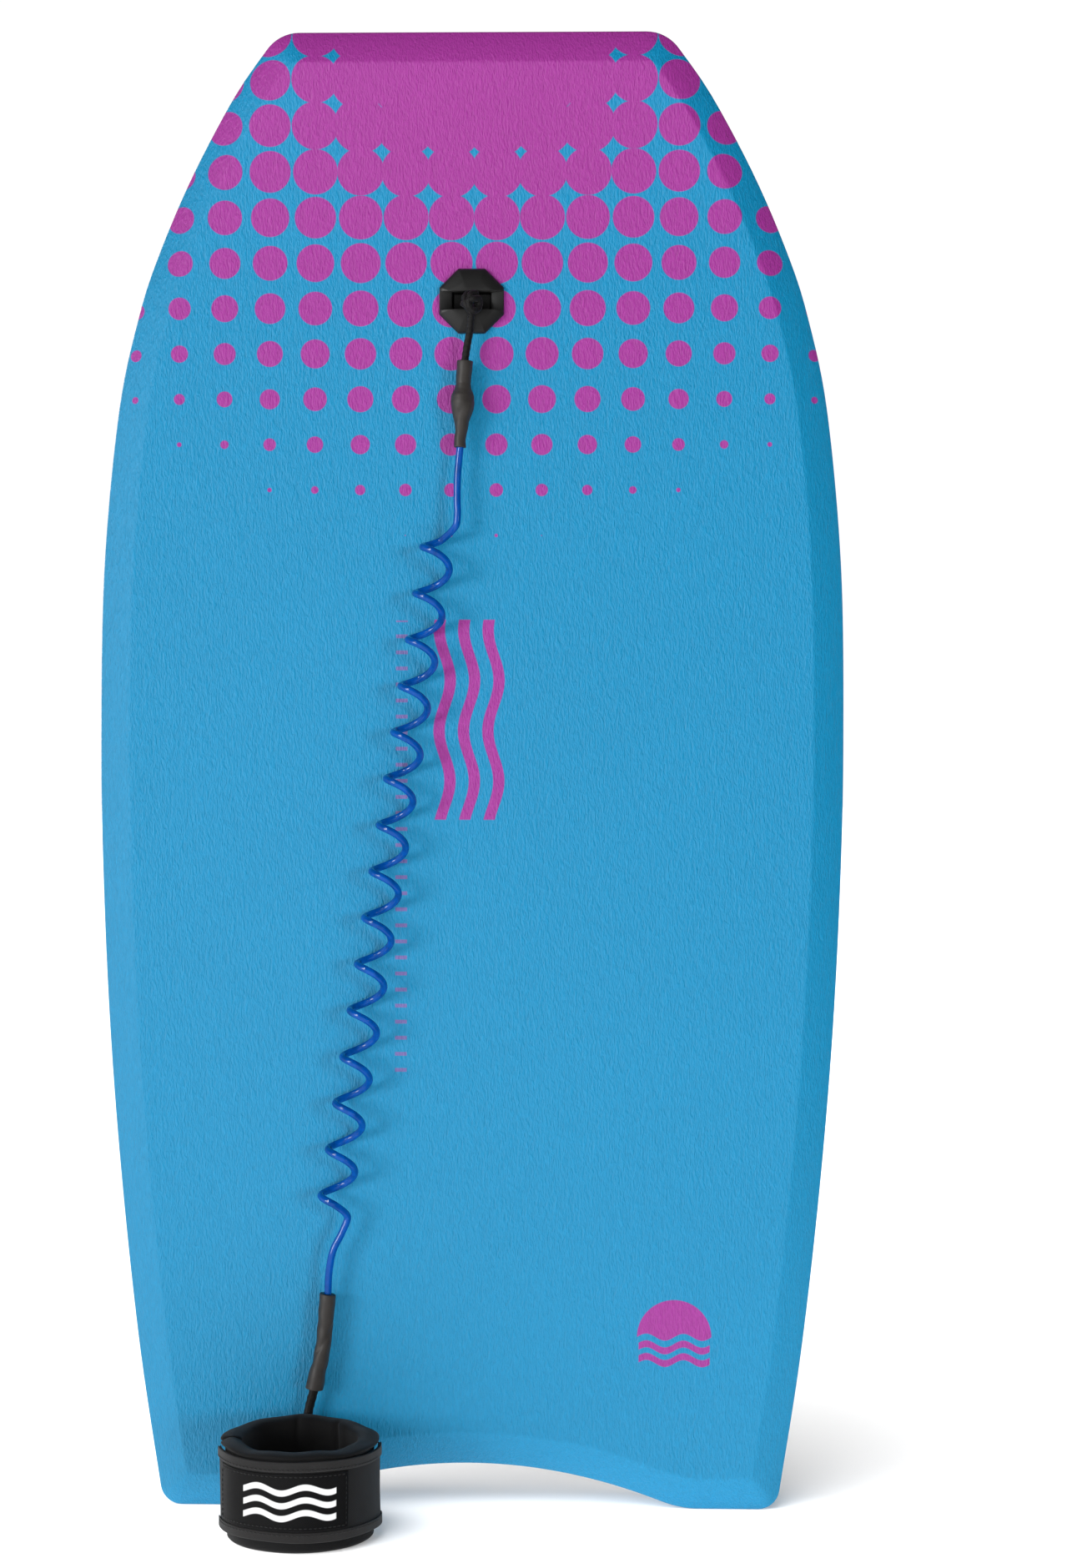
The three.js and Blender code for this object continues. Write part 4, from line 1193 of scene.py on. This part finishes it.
def patch_material():
    """Smooth coated nylon with a plain white wave mark woven in."""
    surface = Surface("cuff_patch", Roughness=0.5, Sheen_Weight=0.02, Specular_IOR_Level=0.1)
    arc, z = arc_and_height(surface, 0.0498)
    mark = wave_bars(arc, z, 0.0318, 0.0076, 0.0036, 0.0019, 0.0300) * window(arc, -0.0330, 0.0270)
    weave = (arc * 7200.0).sine() * (z * 7200.0).sine()
    lint = surface.noise(1700.0, 3.0, 0.65)
    soft = surface.noise(60.0)
    cloth = surface.shade(srgb(17, 17, 18), weave * 0.1 + (lint - 0.5) * 0.35 + (soft - 0.5) * 0.2)
    thread = surface.shade(srgb(236, 236, 236), weave * 0.04 + (lint - 0.5) * 0.06)
    normal = surface.bump(weave + lint + mark * 3.0, 0.00012, 0.6)
    return surface.set(Base_Color=surface.blend(mark, cloth, thread), Normal=normal)


def pile_material(name, colour, scale):
    surface = Surface(name, Roughness=0.85, Sheen_Weight=0.4)
    tufts = surface.cells(scale)
    normal = surface.bump(1.0 - tufts, 0.0006, 0.9)
    # The colour follows the bump: painted light on the tufts' raised middles and painted shade in the low
    # gaps between them.
    return surface.paint(colour, (0.4 - tufts) * 0.9, Normal=normal)


STITCH_LENGTH = 2.1
STITCH_GAP = 0.9
STITCH_THICK = 0.28
STITCH_STEP = 0.25
STITCH_SIDES = 6


def stitch_run(points):
    """Thread stitches along a path, each a small rounded bar half sunk in the cloth."""
    path = even_path(np.array(points), STITCH_STEP)
    verts, faces = [], []
    pitch = STITCH_LENGTH + STITCH_GAP
    for k in range(int(path_length(path) // pitch)):
        first = int((k * pitch + STITCH_GAP / 2) / STITCH_STEP)
        last = min(first + int(STITCH_LENGTH / STITCH_STEP), len(path) - 1)
        start, middle, end = path[first], path[(first + last) // 2], path[last]
        out = middle - (CUFF_X, CUFF_Y, middle[2])
        out = out / np.linalg.norm(out)
        side = np.cross((end - start) / np.linalg.norm(end - start), out)
        base = len(verts)
        places = (start, start * 0.75 + end * 0.25, middle, start * 0.25 + end * 0.75, end)
        for place, size, rise in zip(places, (0.35, 1.0, 1.1, 1.0, 0.35), (0.0, 0.16, 0.2, 0.16, 0.0)):
            thick = STITCH_THICK * size
            for j in range(STITCH_SIDES):
                angle = tau * j / STITCH_SIDES
                lifted = place + out * (rise + thick * 0.7 * sin(angle))
                verts.append(lifted + side * thick * cos(angle))
        faces += tube_faces(5, STITCH_SIDES, base=base)
        ends = tuple(range(base, base + STITCH_SIDES)), tuple(range(len(verts) - STITCH_SIDES, len(verts)))
        faces += [ends[0][::-1], ends[1]]
    return verts, faces


def seam(radius, arc, heights, detail, count):
    """Points on the cuff's outer face, from one angle and height to another."""
    points = []
    for degree, z in zip(np.linspace(*arc, count), np.linspace(*heights, count)):
        angle = radians(degree)
        bulge, lift = detail(angle, z, 1.0)
        points.append(cuff_point(radius + bulge, angle, z + lift))
    return points


def build_stitches(thread):
    """Round the patch's edge, and along both bindings."""
    rim, bound = TRIM_RADII[1] - 0.12, TRIM_RADII[1] + 0.08
    a, b = PATCH_ANGLES[0] + 2.0, PATCH_ANGLES[1] - 2.0
    z0, z1 = PATCH_Z[0] + 1.7, PATCH_Z[1] - 1.7
    runs = [seam(rim, (a, b), (z, z), flap_detail, int(b - a) + 2) for z in (z0, z1)]
    runs += [seam(rim, (degree, degree), (z0, z1), flap_detail, 24) for degree in (a, b)]
    runs += [seam(bound, (193, 350), (z, z), trim_detail, 159) for z in (STRAP_Z[0] + 4.6, STRAP_Z[1] - 4.6)]
    verts, faces = [], []
    for run in runs:
        more, quads = stitch_run(run)
        faces += [tuple(i + len(verts) for i in quad) for quad in quads]
        verts += more
    make_piece("strap_stitches", (verts, faces), thread, "flap", "webbing")


TUNNEL_OUTSIDE = [  # x and y of its outer face, from the strap
    (-9.0, 1.2), (-5.4, 1.7), (-4.2, 5.2), (-2.4, 7.6), (0.0, 8.2), (2.4, 7.6), (4.2, 5.2), (5.4, 1.7),
    (9.0, 1.2),
]
TUNNEL_LEVELS = [  # height, and how much fuller than the drawn section
    (36.0, -0.25), (36.3, 0.0), (41.0, 0.12), (46.0, 0.0), (51.0, 0.12), (55.7, 0.0), (56.0, -0.25),
]
EYE_RADIUS = 3.05
EYE_OFFSET = 4.0  # from the strap to the middle of the cord


def build_tunnel(cloth):
    """The folded web tunnel on the strap's back, over the end of the cord."""
    ridge = smooth_path([(x, y, 0) for x, y in TUNNEL_OUTSIDE], 0.5)[:, :2]
    turn = np.linspace(0.12, tau - 0.12, 29)
    eye = [(EYE_RADIUS * sin(t), EYE_OFFSET - EYE_RADIUS * cos(t)) for t in turn]
    profile = [(-9.0, 0.0), *ridge, (9.0, 0.0), (0.4, 0.0), *eye, (-0.4, 0.0)]
    back_y = CUFF_Y + STRAP_RADII[1] + GAP
    sections = []
    for z, grow in TUNNEL_LEVELS:
        swell = 1 + grow * 0.03
        sections.append([(CUFF_X + x * swell, back_y + y * swell, z) for x, y in profile])
    make_piece("cord_loop_tab", loft(sections), cloth, "cuff", "webbing", "cord_tunnel")


def build_cuff():
    front = HINGE_ANGLE + 360
    low, high = STRAP_Z
    jersey = knitted("neoprene", srgb(17, 17, 18), 0.85, 0.1, 0.0008, 0.00018, 0.4)
    strap_cloth = knitted("webbing", srgb(24, 24, 26), 0.8, 0.15, 0.0014, 0.0003, 0.4)
    loop_cloth = knitted("flap_cloth", srgb(22, 22, 23), 0.88, 0.1, 0.0009, 0.0002, 0.7)
    binding_cloth = knitted("binding", srgb(37, 36, 36), 0.88, 0.14, 0.0009, 0.0002, 0.8)
    thread = knitted("thread", srgb(20, 20, 21), 0.6, 0.15, 0.0005, 0.0001, 0.3)
    loops = pile_material("loop_pile", srgb(30, 30, 32), 900.0)
    hooks = pile_material("hook_pile", srgb(24, 24, 25), 1300.0)

    shape = cuff_band(PAD_RADII, (FREE_ANGLE + 1, FREE_ANGLE + 359), (0.0, PAD_HEIGHT), 2.6, 22, pad_detail)
    pad = make_piece("wrist_pad", shape, jersey, "cuff", "neoprene", "cuff_pad")
    shape = cuff_band(STRAP_RADII, (HINGE_ANGLE, front - 2), STRAP_Z, 0.6, 16, strap_detail)
    make_piece("wrist_strap", shape, strap_cloth, "cuff", "webbing", "cuff_strap")
    shape = cuff_band(LOOP_RADII, (FREE_ANGLE, front - 14), (low + 3, high - 3), 0.25, 12, strap_detail)
    make_piece("loop_side", shape, loops, "cuff", "loop_pile", "loop_panel")
    shape = cuff_band(HOOK_RADII, (FREE_ANGLE + 2, 262), (low + 4, high - 4), 0.25, 12, strap_detail)
    make_piece("hook_side", shape, hooks, "flap", "hook_pile", "hook_panel")

    # The flap and its bindings run round from the free end to the sewn line, on no body.
    shape = cuff_band(FLAP_RADII, (FREE_ANGLE, front), STRAP_Z, 0.65, 16, flap_detail)
    flap = make_piece("strap_face", shape, loop_cloth, None, "webbing", "strap_flap")
    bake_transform(flap)
    trim_radii = (TRIM_RADII[0] - 0.3, TRIM_RADII[1])
    for name, node, heights in (
        ("top_binding", "flap_binding_top", (high - BINDING_WIDTH, high)),
        ("bottom_binding", "flap_binding_bottom", (low, low + BINDING_WIDTH)),
    ):
        shape = cuff_band(trim_radii, (FREE_ANGLE, front), heights, 0.45, 8, trim_detail)
        trim = make_piece(name, shape, binding_cloth, None, "binding", node)
        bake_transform(trim)

    patch_radii = (TRIM_RADII[0] - 0.3, TRIM_RADII[1] - 0.1)
    shape = cuff_band(patch_radii, PATCH_ANGLES, PATCH_Z, 0.4, 14, flap_detail)
    make_piece("strap_patch", shape, patch_material(), "flap", "patch", "cuff_patch")
    build_stitches(thread)
    build_tunnel(strap_cloth)


build_board()
build_plug()
build_leash()
build_cuff()

# ---------------- stage and camera


FLOOR_EDGE = 0.9  # the white floor ends here on the right, out of the picture


def build_stage():
    """A pale floor. Gloss doesn't show it, so the rails keep their deep colour."""
    white = Surface(
        "studio_white", Roughness=0.9, Base_Color=(0.7, 0.7, 0.7, 1.0), Specular_IOR_Level=0.0,
        Emission_Color=(1.0, 1.0, 1.0, 1.0), Emission_Strength=0.25,
    )
    corners = [(-60, -60), (FLOOR_EDGE, -60), (FLOOR_EDGE, 0.6), (25, 60), (-60, 60)]
    mesh = bpy.data.meshes.new("studio_floor")
    mesh.from_pydata([(x, y, 0.0) for x, y in corners], [], [tuple(range(len(corners)))])
    mesh.materials.append(white.material)
    obj = add_object("studio_floor", mesh)
    obj.visible_glossy = False


def sun_light(name, azimuth, elevation, softness, radiance):
    """A wide, distant lamp. Azimuth is degrees right of the camera's side, from the deck."""
    light = bpy.data.lights.new(name, "SUN")
    light.angle = radians(softness)
    light.energy = radiance * pi
    obj = add_object(name, light)
    a, e = radians(azimuth), radians(elevation)
    towards = Vector((sin(a) * cos(e), -cos(a) * cos(e), sin(e)))
    obj.rotation_euler = (-towards).to_track_quat("-Z", "Y").to_euler()
    return obj


def build_lights():
    """A white studio, darker overhead and on the right, with a broad lamp on each side."""
    studio = bpy.data.worlds.new("studio")
    studio.use_nodes = True
    graph = Graph(studio.node_tree)
    background = studio.node_tree.nodes["Background"]
    direction = graph.node("ShaderNodeTexCoord").outputs["Generated"]
    across, away, up = graph.axes(direction)
    overhead = graph.map_range(up - away * 0.1, 0.17, 0.5, 1.0, 0.05)
    right = graph.map_range(across, 0.15, 0.6, 1.0, 0.02)
    front = graph.map_range(away, -0.1, 0.5, 0.62, 1.0)
    # The backdrop itself is plain white: only its light on the object is shaped.
    seen = Num(graph, graph.node("ShaderNodeLightPath").outputs["Is Camera Ray"])
    level = overhead * right * front * 1.05 * (1.0 - seen) + seen * 1.03
    graph.feed(background.inputs["Color"], graph.node("ShaderNodeCombineXYZ", [level] * 3).outputs[0])
    background.inputs["Strength"].default_value = 1.0
    SCENE.world = studio
    sun_light("key", -46.0, 8.0, 24.0, 0.53)
    fill = sun_light("fill", 41.0, 3.0, 18.0, 0.42)
    rear = sun_light("rear", 122.0, 8.0, 30.0, 0.4)
    sun_light("back", -150.0, 10.0, 30.0, 0.3)
    fill.visible_glossy = False
    rear.visible_glossy = False
    # A small lamp puts the wet-looking sparks on the lead and lights nothing else. The lamp
    # over the table is as wide as a ceiling, and lights the floor alone. Everything shades both.
    spark = sun_light("spark", -30.0, 38.0, 5.0, 0.34)
    table = sun_light("table", -42.0, 38.0, 74.0, 2.8)
    for lamp, receiver in ((spark, "coiled_lead"), (table, "studio_floor")):
        lit = bpy.data.collections.new(lamp.name + "_receivers")
        lit.objects.link(bpy.data.objects[receiver])
        lamp.light_linking.receiver_collection = lit


CAMERA_DISTANCE = 1.80
CAMERA_HEIGHT = 0.461
CAMERA_AZIMUTH = radians(1.5)
CAMERA_ROLL = radians(-0.15)
CAMERA_LENS = 65.1
CAMERA_SHIFT = 0.0450
CAMERA_RISE = 0.0012


def build_camera():
    data = bpy.data.cameras.new("camera")
    data.lens = CAMERA_LENS
    data.sensor_width = 36.0
    data.shift_x = CAMERA_SHIFT
    data.shift_y = CAMERA_RISE
    data.clip_start = 0.05
    obj = add_object("camera", data)
    s, c = sin(CAMERA_AZIMUTH), cos(CAMERA_AZIMUTH)
    obj.location = (CAMERA_DISTANCE * s, DECK_Y * MM - CAMERA_DISTANCE * c, CAMERA_HEIGHT)
    obj.rotation_euler = (pi / 2, CAMERA_ROLL, CAMERA_AZIMUTH)
    SCENE.camera = obj


build_stage()
build_lights()
build_camera()
SCENE.view_settings.view_transform = "Standard"

bpy.context.view_layer.update()
